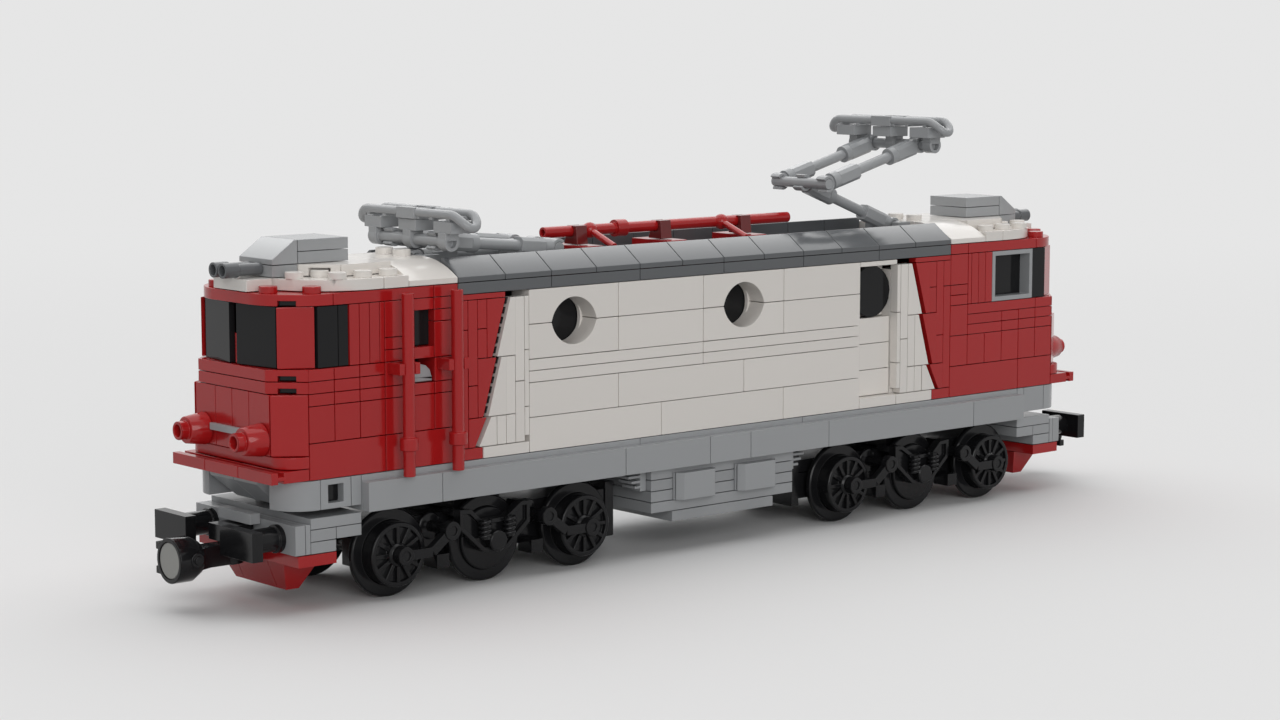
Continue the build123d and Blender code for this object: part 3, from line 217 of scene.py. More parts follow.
def dress(obj, slot):
    """Gives a piece its plastic, and the rounded edges that moulded bricks have."""
    obj.data.materials.clear()
    obj.data.materials.append(MATERIALS[slot])
    join = obj.modifiers.new("join", "NODES")
    join.node_group = JOIN_AND_SMOOTH
    bevel = obj.modifiers.new("edges", "BEVEL")
    bevel.width = EDGE_ROUNDING / 4 if obj.name in FINE_EDGES else EDGE_ROUNDING
    bevel.segments = 2
    bevel.limit_method = "ANGLE"
    bevel.angle_limit = CRISP_ANGLE
    bevel.harden_normals = True
    bevel.use_clamp_overlap = False


for name, obj in frame["nodes"].items():
    dress(obj, slots[name])


# Finer pieces
class Piece:
    """A mesh gathered from turned, boxed and swept shapes, in millimetres."""

    def __init__(self, name):
        self.name = name
        self.points = []
        self.faces = []

    def add(self, points, faces):
        start = len(self.points)
        self.points += [Vector(point) for point in points]
        self.faces += [[start + i for i in face] for face in faces]

    def box(self, low, high, place=Matrix()):
        """A box between two corners, moved by a matrix."""
        corners = [place @ Vector(corner) for corner in product(*zip(low, high))]
        faces = [(0, 1, 3, 2), (4, 6, 7, 5), (0, 4, 5, 1), (2, 3, 7, 6), (0, 2, 6, 4), (1, 5, 7, 3)]
        self.add(corners, faces)

    def turned(self, start, direction, profile, sides=ROUND_SIDES):
        """A turned shape from rows of distance along a line and radius. A ring ends on its first row."""
        facing = Vector(direction).to_track_quat("Z", "Y")
        place = Matrix.Translation(start) @ facing.to_matrix().to_4x4()
        points, faces = [], []
        for along, radius in profile:
            for i in range(sides):
                angle = math.tau * i / sides
                u, v = radius * math.cos(angle), radius * math.sin(angle)
                points.append(place @ Vector((u, v, along)))
        for ring in range(len(profile) - 1):
            for i in range(sides):
                a, b = ring * sides + i, ring * sides + (i + 1) % sides
                faces.append((a, b, b + sides, a + sides))
        is_ring = profile[0] == profile[-1]
        for ring in (0, len(profile) - 1):
            if profile[ring][1] > 0 and not is_ring:
                rim = [ring * sides + i for i in range(sides)]
                faces.append(rim[::-1] if ring == 0 else rim)
        self.add(points, faces)

    def tube(self, path, radius, sides=14):
        """A round tube along a path of points."""
        path = [Vector(point) for point in path]
        points, faces = [], []
        side = None
        for i, point in enumerate(path):
            run = (path[min(i + 1, len(path) - 1)] - path[max(i - 1, 0)]).normalized()
            side = run.orthogonal() if side is None else side - run * side.dot(run)
            side.normalize()
            other = run.cross(side)
            for k in range(sides):
                angle = math.tau * k / sides
                points.append(point + radius * (math.cos(angle) * side + math.sin(angle) * other))
        for ring in range(len(path) - 1):
            for k in range(sides):
                a, b = ring * sides + k, ring * sides + (k + 1) % sides
                faces.append((a, b, b + sides, a + sides))
        faces.append(list(range(sides))[::-1])
        faces.append([(len(path) - 1) * sides + k for k in range(sides)])
        self.add(points, faces)

    def prism(self, outline, place, thickness):
        """A flat outline of u, v points given a thickness along its plane's third axis."""
        count = len(outline)
        points = [place @ Vector((u, v, w)) for w in (0, thickness) for u, v in outline]
        faces = [list(range(count))[::-1], list(range(count, 2 * count))]
        faces += [(i, (i + 1) % count, count + (i + 1) % count, count + i) for i in range(count)]
        self.add(points, faces)

    def half_turned(self):
        """Turns all of it half round the middle of the model."""
        self.points = [Vector((-p.x, -p.y, p.z)) for p in self.points]

    def finish(self, slot, body, *nodes):
        """Makes the object, puts it on its body and lets it stand for the named nodes."""
        mesh = bpy.data.meshes.new(self.name)
        mesh.from_pydata([point * MM for point in self.points], [], self.faces)
        shell = bmesh.new()
        shell.from_mesh(mesh)
        bmesh.ops.remove_doubles(shell, verts=shell.verts, dist=0.001 * MM)
        bmesh.ops.recalc_face_normals(shell, faces=shell.faces)
        shell.to_mesh(mesh)
        shell.free()
        obj = bpy.data.objects.new(self.name, mesh)
        bpy.context.scene.collection.objects.link(obj)
        dress(obj, slot)
        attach(obj, body)
        if nodes:
            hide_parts(*nodes)
        return obj


def joint_place(name):
    """Where a joint of the record sits, in millimetres."""
    joint = next(j for j in frame["record"]["behaviour"]["joints"] if j["name"] == name)
    return Vector(joint["pos_m"]) / MM


# Wheel sets: rows of distance from the centre line and radius
WHEEL_BACK = 17.0
AXLE = 2.4
FLANGE_ROWS = [(WHEEL_BACK, AXLE), (WHEEL_BACK, 11.6), (17.4, 12.0), (18.6, 12.0)]
TREAD_ROWS = FLANGE_ROWS + [(19.0, 11.6), (19.0, 8.9), (19.2, 8.7)]
RIM_ROWS = [(23.3, 8.7), (23.6, 8.4), (23.6, 7.4), (22.4, 7.3), (22.4, 3.3), (23.6, 3.2), (24.2, 2.6)]
HUB_ROWS = [(24.2, 1.3), (23.2, 1.3), (23.2, 0.0)]
SPOKED_ROWS = TREAD_ROWS + RIM_ROWS + HUB_ROWS
PLAIN_ROWS = TREAD_ROWS + [(19.9, 8.7), (20.2, 8.4), (20.2, 0.0)]
SPOKES = 12
SPOKE_HALF = 0.55
SPOKE_FACE = (22.3, 23.45)  # from the centre line
SPOKE_REACH = (3.0, 7.6)  # from the axle
WHEEL_SIDES = 64


def wheel_set(name, spoked):
    """Two wheels on an axle, with spokes standing over a sunk web."""
    piece = Piece(name + "_wheels")
    middle = joint_place(name + "_spin")
    for side in (-1, 1):
        rows = SPOKED_ROWS if spoked else PLAIN_ROWS
        piece.turned(middle, (0, side, 0), rows, sides=WHEEL_SIDES)
        for i in range(SPOKES if spoked else 0):
            turn = Matrix.Translation(middle) @ Matrix.Rotation(math.tau * i / SPOKES, 4, "Y")
            low, high = ((side * y, z) for y, z in zip(SPOKE_FACE, SPOKE_REACH))
            piece.box((-SPOKE_HALF, *low), (SPOKE_HALF, *high), turn)
    inner_face = middle - Vector((0, WHEEL_BACK, 0))
    piece.turned(inner_face, (0, 1, 0), [(0, AXLE), (2 * WHEEL_BACK, AXLE)], sides=24)
    piece.finish("black", name, name)


for end, _ in ENDS:
    for number in (1, 2, 3):
        wheel_set(f"axle_{end}_{number}", spoked=number != 2)


# Pantographs
HOLDER = 13.6  # how far a bar holder reaches from its pin
HOLDER_HALF = 2.4
HOLDER_CUT = 1.0  # chamfer along a holder
HOLDER_START = 2.4  # from the pin to where a holder or its collar starts
COLLAR = 2.65
COLLAR_WIDTH = 2.5
CLIP = 2.6  # outer radius of a clip
CLIP_BORE = 1.68
CLIP_WIDTH = 3.8
CLIP_OPEN = math.radians(50)  # half of its mouth
CLIP_STEPS = 18


def clip(piece, pin, along):
    """An open clip round a pin, its mouth facing away from the arm."""
    across = Vector((0, 1, 0))
    axes = Matrix((along, across.cross(along), across)).transposed().to_4x4()
    place = Matrix.Translation(pin - across * CLIP_WIDTH / 2) @ axes
    sweep = math.tau - 2 * CLIP_OPEN
    angles = [CLIP_OPEN - math.pi + sweep * i / CLIP_STEPS for i in range(CLIP_STEPS + 1)]
    outline = [(CLIP * math.cos(a), CLIP * math.sin(a)) for a in angles]
    outline += [(CLIP_BORE * math.cos(a), CLIP_BORE * math.sin(a)) for a in reversed(angles)]
    piece.prism(outline, place, CLIP_WIDTH)


def bar_holder(piece, pin, along, collar_at_pin):
    """A chamfered holder with a round collar at one end, and a clip on the pin."""
    place = Matrix.Translation(pin) @ along.to_track_quat("Z", "Y").to_matrix().to_4x4()
    block, collar = (HOLDER_START, HOLDER - 2.4), (HOLDER - COLLAR_WIDTH, HOLDER)
    if collar_at_pin:
        block, collar = (5.0, HOLDER), (HOLDER_START, 5.1)
    a, b = HOLDER_HALF, HOLDER_HALF - HOLDER_CUT
    outline = [(a, -b), (a, b), (b, a), (-b, a), (-a, b), (-a, -b), (-b, -a), (b, -a)]
    piece.prism(outline, place @ Matrix.Translation((0, 0, block[0])), block[1] - block[0])
    piece.turned(pin, along, [(t, COLLAR) for t in collar])
    clip(piece, pin, along)


def arm(piece, start, end):
    """A bar between two holders, whose collars are towards the start."""
    along = (end - start).normalized()
    length = (end - start).length
    piece.turned(start, along, [(HOLDER - 1, BAR), (length - HOLDER + 1, BAR)])
    bar_holder(piece, start, along, True)
    bar_holder(piece, end, -along, False)


HEAD_SHIFT = 1.9  # from the head's pin to its middle, towards the middle of the model
SKID_X = 3.25  # from the head's middle to each skid tube
SKID_TOP = 7.5  # heights are above the pin
SKID_LOW = 4.1
SKID = 1.25
SKID_START = 3.0  # from the centre line, inside the middle block
SKID_BEND = 18.8  # where a tube starts to turn down
SKID_TURN = 21.8  # steers the bend along the tube's straight run
SKID_EASE = 0.7  # share of SKID_X that steers the end of the bend
SKID_END = 24.4
BLOCK_HALF = 3.95
BLOCK_LOW = 2.4
BLOCK_MIDDLE = BLOCK_LOW + PLATE
BLOCK_TOP = BLOCK_LOW + 2 * PLATE
SIDE_BLOCK = 16.0  # from the centre line to a side block's middle
POST = 1.8  # half the width of a post
POST_RADIUS = 2.5
POST_HALF = 2.3  # half a post along the model
POST_LOW = 0.4
PIN_BORE = 1.5
PIN_BORE_DEPTH = 1.6
RUNGS = (4.6, 10.7, 18.2)  # from the centre line to the bars under the skid tubes
RUNG_LOW = (-3.9, -0.7, SKID_TOP - 1.75)
RUNG_HIGH = (3.9, 0.7, SKID_TOP - 0.5)
CROWN = 4.6  # half the length of the block over the tubes
CROWN_IN = 1.95  # half the length of its hollow
CROWN_SIDE = 4.1
WALL_HALF = 1.9  # half the length of the crown's end walls
WALL_Y = (2.9, 3.9)  # from the centre line to an end wall's faces


def skid_loop(side, steps=14):
    """The path of a skid tube: out along the head, down in a round loop, and back."""
    bend = [Vector((-SKID_X, y * side, SKID_TOP)) for y in (SKID_BEND, SKID_TURN)]
    bend += [Vector((x, SKID_END * side, SKID_LOW)) for x in (-SKID_X * SKID_EASE, 0)]
    path = [Vector((-SKID_X, SKID_START * side, SKID_TOP))]
    for i in range(steps + 1):
        t = i / steps
        weights = ((1 - t) ** 3, 3 * t * (1 - t) ** 2, 3 * t * t * (1 - t), t ** 3)
        path.append(sum((w * p for w, p in zip(weights, bend)), Vector()))
    return path + [Vector((-p.x, p.y, p.z)) for p in reversed(path[:-1])]


def block_on_post(piece, y, top, on_pin, at):
    """A post round the pin, and the block that stands on it."""
    low, high = y - POST + 0.1, y + POST - 0.1
    piece.box((-POST_HALF, low, POST_LOW), (POST_HALF, high, BLOCK_LOW + 0.2), on_pin)
    low, high = y - BLOCK_HALF, y + BLOCK_HALF
    piece.box((-BLOCK_HALF, low, BLOCK_LOW), (BLOCK_HALF, high, top), at)


def pantograph_head(piece, pin, inward):
    """Pin in three posts, blocks under the tubes, and two skid tubes that loop at their ends."""
    on_pin = Matrix.Translation(pin)
    facing = Matrix.Rotation(0 if inward > 0 else math.pi, 4, "Z")
    at = on_pin @ facing @ Matrix.Translation((HEAD_SHIFT, 0, 0))
    near, far = SIDE_BLOCK - POST, SIDE_BLOCK + POST
    bottom = far - PIN_BORE_DEPTH
    half_pin = [(0, BAR), (near, BAR), (near, POST_RADIUS), (far, POST_RADIUS)]
    half_pin += [(far, PIN_BORE), (bottom, PIN_BORE), (bottom, 0)]
    for side in (-1, 1):
        piece.turned(pin, (0, side, 0), half_pin)
        block_on_post(piece, SIDE_BLOCK * side, BLOCK_MIDDLE, on_pin, at)
        piece.tube([at @ point for point in skid_loop(side)], SKID)
        for y in RUNGS:
            piece.box(RUNG_LOW, RUNG_HIGH, at @ Matrix.Translation((0, y * side, 0)))
        low, high = sorted(side * y for y in WALL_Y)
        piece.box((-WALL_HALF, low, BLOCK_MIDDLE + 0.2), (WALL_HALF, high, BLOCK_TOP - 0.1), at)
    piece.turned(pin, (0, 1, 0), [(-POST, POST_RADIUS), (POST, POST_RADIUS)])
    block_on_post(piece, 0, BLOCK_MIDDLE - 0.1, on_pin, at)
    for x0, x1 in ((-CROWN, -CROWN_IN), (CROWN_IN, CROWN)):
        piece.box((x0, -CROWN_SIDE, BLOCK_MIDDLE + 0.1), (x1, CROWN_SIDE, BLOCK_TOP), at)


ARM_SIDE = 10.0  # from the centre line to an upper arm
KNEE_HALF = 12.0  # half the length of the knee's pin


def pantograph(end, inward):
    """The moving pieces of one pantograph, from pin to pin of the record's joints."""
    joints = (f"pantograph_{end}_{joint}" for joint in ("raise", "knee", "head_level"))
    foot, knee, top = map(joint_place, joints)
    lower, upper, head = (Piece(f"{end}_{part}") for part in ("lower_arm", "upper_arms", "head"))
    arm(lower, foot, knee)
    upper.turned(knee, (0, 1, 0), [(-KNEE_HALF, BAR), (KNEE_HALF, BAR)])
    for side in (-1, 1):
        shift = Vector((0, side * ARM_SIDE, 0))
        arm(upper, knee + shift, top + shift)
    pantograph_head(head, top, inward)
    for piece in (lower, upper, head):
        piece.finish("light_grey", f"pantograph_{piece.name}", f"pantograph_{piece.name}")


for end, inward in ENDS:
    pantograph(end, inward)


# Round pieces of the body, each drawn at the front and again after a half turn
HEADLIGHT_ROWS = [
    (0, 4.4), (5.6, 3.6), (5.8, 3.4), (5.8, 2.5), (8.0, 2.5), (8.2, 2.3), (8.2, 1.7), (5.0, 1.6), (5.0, 0),
]
HORN_ROWS = [
    (0, 1.6), (6.9, 1.6), (7.1, 2.0), (11.4, 2.0), (11.5, 1.9), (11.5, 1.4), (8.5, 1.4), (8.5, 0),
]
STUD_ROWS = [(0, 2.44), (1.7, 2.44), (1.85, 2.28), (1.85, 0)]
RED_STUDS = [(-148, 12), (-140, 20)]
WHITE_STUDS = [(-132, 20), (-124, 20), (-140, 12), (-132, 12), (-116, 20)]
DECK_STUDS = [(-100, 4)]
STUD_SINK = 0.1  # into the plate below
RAIL_ROWS = [(8.4, 1.62), (15.2, 1.62), (15.4, 2.45), (18.6, 2.45), (18.8, 1.62), (56.6, 1.62)]
RAIL_PLACES = [(-116, -28.7, SKIRT), (-100, -28.7, SKIRT)]
WINDOW_ROWS = [(0, 7.9), (2.8, 7.9)]
WINDOW_PLACE = (64, -20.7, SKIRT + 14 * PLATE)
FORWARD = (-1, 0, 0)
UP = (0, 0, 1)
ACROSS = (0, 1, 0)


def turned_pair(name, slot, rows, places, direction, *nodes):
    """The same turned shape at each place of the front, and half turned at the rear."""
    piece = Piece(name)
    for place in places:
        piece.turned(place, direction, rows)
    rear = Piece(name)
    rear.points, rear.faces = [p.copy() for p in piece.points], piece.faces
    rear.half_turned()
    piece.add(rear.points, rear.faces)
    piece.finish(slot, "body", *nodes)


def both_sides(places, height):
    """x, y places on both sides of the centre line at a height."""
    return [(x, side * y, height) for side in (-1, 1) for x, y in places]


HEADLIGHTS = both_sides([(-152.1, 13.6)], SKIRT + 20.0)
HORNS = both_sides([(-144.1, 2.2)], SKIRT + 62.9)
# name, colour, places, and how many plates up they stand
STUDS = (
    ("red_studs", "red", RED_STUDS, 18),
    ("white_studs", "white", WHITE_STUDS, 19),
    ("deck_studs", "white", DECK_STUDS, 20),
)
turned_pair("headlight_cones", "red", HEADLIGHT_ROWS, HEADLIGHTS, FORWARD, "headlights")
turned_pair("horn_tubes", "dark_grey", HORN_ROWS, HORNS, FORWARD, "horns")
for name, slot, places, plates in STUDS:
    turned_pair(name, slot, STUD_ROWS, both_sides(places, SKIRT + plates * PLATE - STUD_SINK), UP)
turned_pair("door_rails", "red", RAIL_ROWS, RAIL_PLACES, UP)
turned_pair("round_windows", "smoked_glass", WINDOW_ROWS, [WINDOW_PLACE], ACROSS)


# Painted shade: thin dark sheets at the back of the slots under the nose plates and the square sockets,
# and in the gaps along the wedges, where the depth lies in shade
SHEET = 0.3  # thickness of a dark sheet of painted shade
SLOTS = ((-148.0, 20.0, 10), (-148.0, 20.0, 11), (-147.3, 19.3, 17))  # x, y, plates up
SLOT_DEPTH = 1.9
SLOT_HALF = 2.35
SLOT_Z = (0.12, 1.42)
SOCKET = (-136.0, 21.4, SKIRT + 5.6)  # back of the socket
SOCKET_HALF = 2.35
# x of the red and the white edge at the top, then at the bottom, and the heights above the skirt
WEDGE_GAPS = (
    (80.2, 78.4, 84.8, 83.0, 52.7, 36.9),
    (83.4, 81.6, 88.0, 86.2, 36.7, 20.9),
    (86.8, 85.2, 90.8, 89.3, 20.7, 12.9),
)
WEDGE_BACK = -21.2
TEETH = 6  # dark teeth of painted shade along one wedge's edge
TOOTH = 0.7  # share of the pitch that a tooth takes
TOOTH_WIDTH = 0.45
TOOTH_FRONT = -1.7  # from the back of the gap
TOOTH_DEPTH = 1.0


def painted_shade_sheets():
    """Thin dark sheets of painted shade at the back of the slots and sockets and in the gaps, and dark
    teeth of painted shade along the white edges.
    """
    piece = Piece("painted_shade_sheets")
    for turn in (0, math.pi):
        end = Matrix.Rotation(turn, 4, "Z")
        for side in (-1, 1):
            # painted shade at the back of each slot under a nose plate
            for x, y, plates in SLOTS:
                place = end @ Matrix.Translation((x, side * y, SKIRT + plates * PLATE))
                place = place @ Matrix.Rotation(side * math.radians(-45), 4, "Z")
                low = (SLOT_DEPTH, -SLOT_HALF, SLOT_Z[0])
                high = (SLOT_DEPTH + SHEET, SLOT_HALF, SLOT_Z[1])
                piece.box(low, high, place)
            # painted shade at the back of each square socket
            x, y, z = SOCKET
            low = (x - SOCKET_HALF, side * y, z - SOCKET_HALF)
            high = (x + SOCKET_HALF, side * (y - SHEET), z + SOCKET_HALF)
            piece.box(low, high, end)
            axes = ((side, 0, 0, 0), (0, 0, 1, WEDGE_BACK), (0, 1, 0, SKIRT), (0, 0, 0, 1))
            plane = end @ Matrix(axes)
            # painted shade in the gaps between the red and the white wedges
            for red_top, white_top, red_low, white_low, top, low in WEDGE_GAPS:
                gap = [(red_top, top), (white_top, top), (white_low, low), (red_low, low)]
                piece.prism(gap, plane, SHEET)
            # dark teeth that paint the shade in the notches along the white edges
            for _, white_top, _, white_low, top, low in WEDGE_GAPS[:2]:
                edge = Vector((white_top, top))
                pitch = (Vector((white_low, low)) - edge) / TEETH
                run, step = pitch * TOOTH, Vector((TOOTH_WIDTH, 0))
                for i in range(TEETH):
                    start = edge + pitch * i
                    tooth = (start, start + step, start + step + run, start + run)
                    piece.prism(tooth, plane @ Matrix.Translation((0, 0, TOOTH_FRONT)), TOOTH_DEPTH)
    piece.finish("black", "body")


painted_shade_sheets()


# Faces over the end bricks that show no square socket: the front's far side and the rear's near side
COVER_LOW = (-140.65, 23.5, SKIRT + 1.75)
COVER_HIGH = (-131.35, 23.96, SKIRT + 9.45)


def plain_end_bricks():
    """Plain covers over two of the four end bricks."""
    piece = Piece("plain_end_bricks")
    for turn in (0, math.pi):
        piece.box(COVER_LOW, COVER_HIGH, Matrix.Rotation(turn, 4, "Z"))
    piece.finish("light_grey", "body")


plain_end_bricks()


# Grey box under the floor: half length, then plates from and to
BOX_ROWS = ((28, -1, 0), (28, -2, -1), (28, -3, -2), (28, -4, -3), (20, -5, -4))
BOX_HALF = 23.9
BOX_SEAM = 0.1
PANELS = ((-20, -4), (4, 20))
PANEL_Z = SKIRT - 3 * PLATE
PANEL_HEIGHT = 7.9
# across one half of a panel: in from its end, out from the box
PANEL_EDGE = ((0.1, 0.1), (0.1, 0.7), (1.2, 0.7), (1.2, 1.2), (0.3, 1.2), (2.0, 3.1))


def underfloor_box():
    """Five plates, and on each side two panels with a back plate and sloped ends."""
    piece = Piece("stepped_box")
    for half, low, high in BOX_ROWS:
        x = half - BOX_SEAM
        z0, z1 = SKIRT + low * PLATE + BOX_SEAM, SKIRT + high * PLATE - BOX_SEAM
        piece.box((-x, -BOX_HALF, z0), (x, BOX_HALF, z1))
    for turn in (0, math.pi):
        place = Matrix.Rotation(turn, 4, "Z") @ Matrix.Translation((0, 0, PANEL_Z + BOX_SEAM))
        for x0, x1 in PANELS:
            outline = [(x0 + a, -BOX_HALF - b) for a, b in PANEL_EDGE]
            outline += [(x1 - a, -BOX_HALF - b) for a, b in reversed(PANEL_EDGE)]
            piece.prism(outline, place, PANEL_HEIGHT)
    piece.finish("light_grey", "body", "underfloor_box")


underfloor_box()


# Eye-shaped portholes: two arches over a joint between bricks
PORTHOLES = (-56, 8)
PORTHOLE_Z = SKIRT + 14 * PLATE
ARCH_RADIUS = 8.15
ARCH_DROP = 1.55  # how far below the joint an arch is centred
ARCH_HALF = 15.9
ARCH_FOOT = 0.1  # half the seam at the joint
ARCH_HEIGHT = 9.5
ARCH_STEPS = 32
ARCH_BACK = 16.1  # from the centre line
ARCH_DEPTH = 7.8
LIP_ROWS = [(0.1, 8.1), (0.1, 7.3), (1.5, 7.3), (1.5, 8.1), (0.1, 8.1)]


def porthole_arches():
    """The arch bricks with a smooth opening."""
    start = math.asin(ARCH_DROP / ARCH_RADIUS)
    sweep = math.pi - 2 * start
    angles = [start + sweep * i / ARCH_STEPS for i in range(ARCH_STEPS + 1)]
    arch = [(ARCH_RADIUS * math.cos(a), ARCH_RADIUS * math.sin(a) - ARCH_DROP) for a in angles]
    outline = [(ARCH_HALF, ARCH_FOOT), (ARCH_HALF, ARCH_HEIGHT)]
    outline += [(-ARCH_HALF, ARCH_HEIGHT), (-ARCH_HALF, ARCH_FOOT)]
    outline += [(x, max(z, ARCH_FOOT)) for x, z in reversed(arch)]
    piece = Piece("smooth_arches")
    for side in (-1, 1):
        for x in PORTHOLES:
            back = (side * -x, side * ARCH_BACK, PORTHOLE_Z)
            for way in (-1, 1):
                axes = Matrix(((1, 0, 0, 0), (0, 0, side, 0), (0, way, 0, 0), (0, 0, 0, 1)))
                piece.prism(outline, Matrix.Translation(back) @ axes, ARCH_DEPTH)
            piece.turned(back, (0, side, 0), LIP_ROWS)
    piece.finish("white", "body", "porthole_arches")


porthole_arches()


# Red pipe along the roof
PIPE_Z = SKIRT + 67.2
PIPE_START = -48
PIPE_ROWS = [
    (3, 0), (3, 0.9), (0, 0.9), (0, BAR), (26.5, BAR), (26.5, 2.5), (30.5, 2.5), (30.5, BAR), (96, BAR),
]
BALL = 2.3
BALL_STEPS = 12
BRANCHES = (-31.4, 19.7)
BRANCH = 1.0


def roof_pipe():
    """Red pipe with a hollow end, a sleeve, and two branches on ball joints."""
    piece = Piece("red_pipe")
    piece.turned((PIPE_START, 0, PIPE_Z), (1, 0, 0), PIPE_ROWS)
    angles = [math.pi * i / BALL_STEPS for i in range(BALL_STEPS + 1)]
    ball = [(BALL * -math.cos(a), BALL * math.sin(a)) for a in angles]
    for x in BRANCHES:
        piece.turned((x, -1.0, PIPE_Z), (0, -1, 0), ball)
        start, end = Vector((x, -1.2, PIPE_Z)), Vector((x - 2.4, -14.8, SKIRT + 63.4))
        piece.turned(start, end - start, [(0, BRANCH), ((end - start).length, BRANCH)], sides=20)
    piece.finish("red", "body", "roof_pipe")


roof_pipe()


# Running gear on the bogies
BOGIE_X = -84.0
AXLE_Z = 12.0
ARM_EYES = ((-116.0, 12.0), (-100.6, 16.9), (-52.0, 12.0), (-67.4, 16.9))  # x, z of the bent arms' eyes
EYE_ROWS = [(24.5, 2.6), (26.9, 2.6), (27.1, 2.4), (27.1, 1.3), (26.0, 1.2), (26.0, 0)]
DISC_ROWS = [(15.7, 3.7), (16.6, 3.7), (16.8, 3.4), (16.8, 0)]  # behind every second eye
EYE_SIDES = 28
AXLE_BOX_ROWS = [(23.1, 2.95), (25.3, 2.95), (25.65, 2.6), (25.65, 0)]
BUFFER = (-148.8, 16, SKIRT - 5.8)
STEM_ROWS = [(-0.1, 3.72), (1.5, 3.72), (1.6, 3.24), (10.0, 3.24)]
SPRING_X = 4.2  # from the middle axle
SPRING_Y = 24.6
SPRING_Z = SKIRT - 12.2
SPRING = 1.5
SPRING_HEIGHT = 5.0
SPRING_TURNS = 4
SPRING_STEPS = 22  # in one turn
WIRE = 0.5


def spring_path(centre):
    """The points along a coil spring that stands on its centre."""
    path = []
    for i in range(SPRING_TURNS * SPRING_STEPS + 1):
        angle = math.tau * i / SPRING_STEPS
        lift = SPRING_HEIGHT * i / (SPRING_TURNS * SPRING_STEPS)
        path.append(centre + Vector((SPRING * math.cos(angle), SPRING * math.sin(angle), lift)))
    return path


def bogie_gear(end, sign):
    """Springs, axle box caps, eyes of the bent arms, buffer stems and discs on one bogie."""
    piece = Piece(f"{end}_bogie_gear")
    for side in (-1, 1):
        out = (0, side, 0)
        for way in (-1, 1):
            centre = Vector((BOGIE_X + way * SPRING_X, side * SPRING_Y, SPRING_Z))
            piece.tube(spring_path(centre), WIRE, sides=8)
        piece.turned((BOGIE_X, 0, AXLE_Z), out, AXLE_BOX_ROWS)
        for x, z in ARM_EYES:
            piece.turned((x, 0, z), out, EYE_ROWS, sides=EYE_SIDES)
        for x, z in ARM_EYES[1::2]:
            piece.turned((x, 0, z), out, DISC_ROWS, sides=EYE_SIDES)
        x, y, z = BUFFER
        piece.turned((x, side * y, z), FORWARD, STEM_ROWS)
    if sign < 0:
        piece.half_turned()
    piece.finish("black", f"bogie_{end}")


COUPLER_Z = SKIRT - 11.2
CUP_X = -171.8
CUP_ROWS = [(3.0, 4.9), (0, 4.9), (0, 5.8), (0.2, 6.0), (5.4, 6.0), (8.2, 4.4), (8.2, 0)]
NECK = [(-164.6, -4.2), (-160.6, -2.6), (-153.0, -2.6), (-153.0, 2.6), (-160.6, 2.6), (-164.6, 4.2)]
NECK_HEIGHT = 5.6
NECK_LOW = COUPLER_Z - NECK_HEIGHT / 2
PIVOT_X = -153
PIVOT_ROWS = [(0, 1.7), (0, 3.2), (NECK_HEIGHT, 3.2), (NECK_HEIGHT, 1.7)]
SIDE_PIN = (-166.8, -4.5, COUPLER_Z + 0.4)
SIDE_PIN_ROWS = [(0, 1.9), (1.7, 1.9), (1.7, 1.1), (2.4, 1.1), (2.4, 0)]
PRONGS = (-3.2, 3.2)  # above the coupler's middle
MAGNET_X = -171.6
MAGNET_ROWS = [(0, 0), (0, 4.6), (0.2, 4.8), (2.6, 4.8), (2.6, 0)]


def coupler(end, sign):
    """Cup with a ring, side pin, two prongs, and the arm to its upright pivot."""
    piece = Piece(f"{end}_coupler")
    piece.turned((CUP_X, 0, COUPLER_Z), (1, 0, 0), CUP_ROWS)
    piece.prism(NECK, Matrix.Translation((0, 0, NECK_LOW)), NECK_HEIGHT)
    piece.turned((PIVOT_X, 0, NECK_LOW), UP, PIVOT_ROWS)
    piece.turned(SIDE_PIN, (0, -1, 0), SIDE_PIN_ROWS, sides=24)
    for z in PRONGS:
        middle = COUPLER_Z + z
        piece.box((-171.4, 5.0, middle - 1.0), (-169.4, 7.0, middle + 1.0))
    disc = Piece(f"{end}_magnet")
    disc.turned((MAGNET_X, 0, COUPLER_Z), (1, 0, 0), MAGNET_ROWS, sides=64)
    body = f"coupler_{end}"
    for part, slot, node in ((piece, "black", body), (disc, "magnet_steel", body + "_magnet")):
        if sign < 0:
            part.half_turned()
        part.finish(slot, body, node)


for end, sign in ENDS:
    bogie_gear(end, sign)
    coupler(end, sign)


# Floor, light and camera, in metres
FLOOR_HALF = 40.0
FADE = (0.45, 1.2)  # where the floor starts to fade, and where it has
SURROUND = 0.20  # strength of the even light
CAMERA = (-0.53216, -0.60240, 0.15242)
CAMERA_DOWN = math.radians(7.110)
CAMERA_TURN = math.radians(-40.839)
LENS = 76.84


def seen_or_reflected(tree, x, y):
    """One for what the camera sees straight, mirrored or through glass, nought for falling light."""
    path = node_at(tree, "ShaderNodeLightPath", x, y)
    total = path.outputs["Is Camera Ray"]
    for step, ray in enumerate(("Is Glossy Ray", "Is Transmission Ray")):
        most = node_at(tree, "ShaderNodeMath", x + step + 1, y, operation="MAXIMUM")
        tree.links.new(total, most.inputs[0])
        tree.links.new(path.outputs[ray], most.inputs[1])
        total = most.outputs[0]
    return total


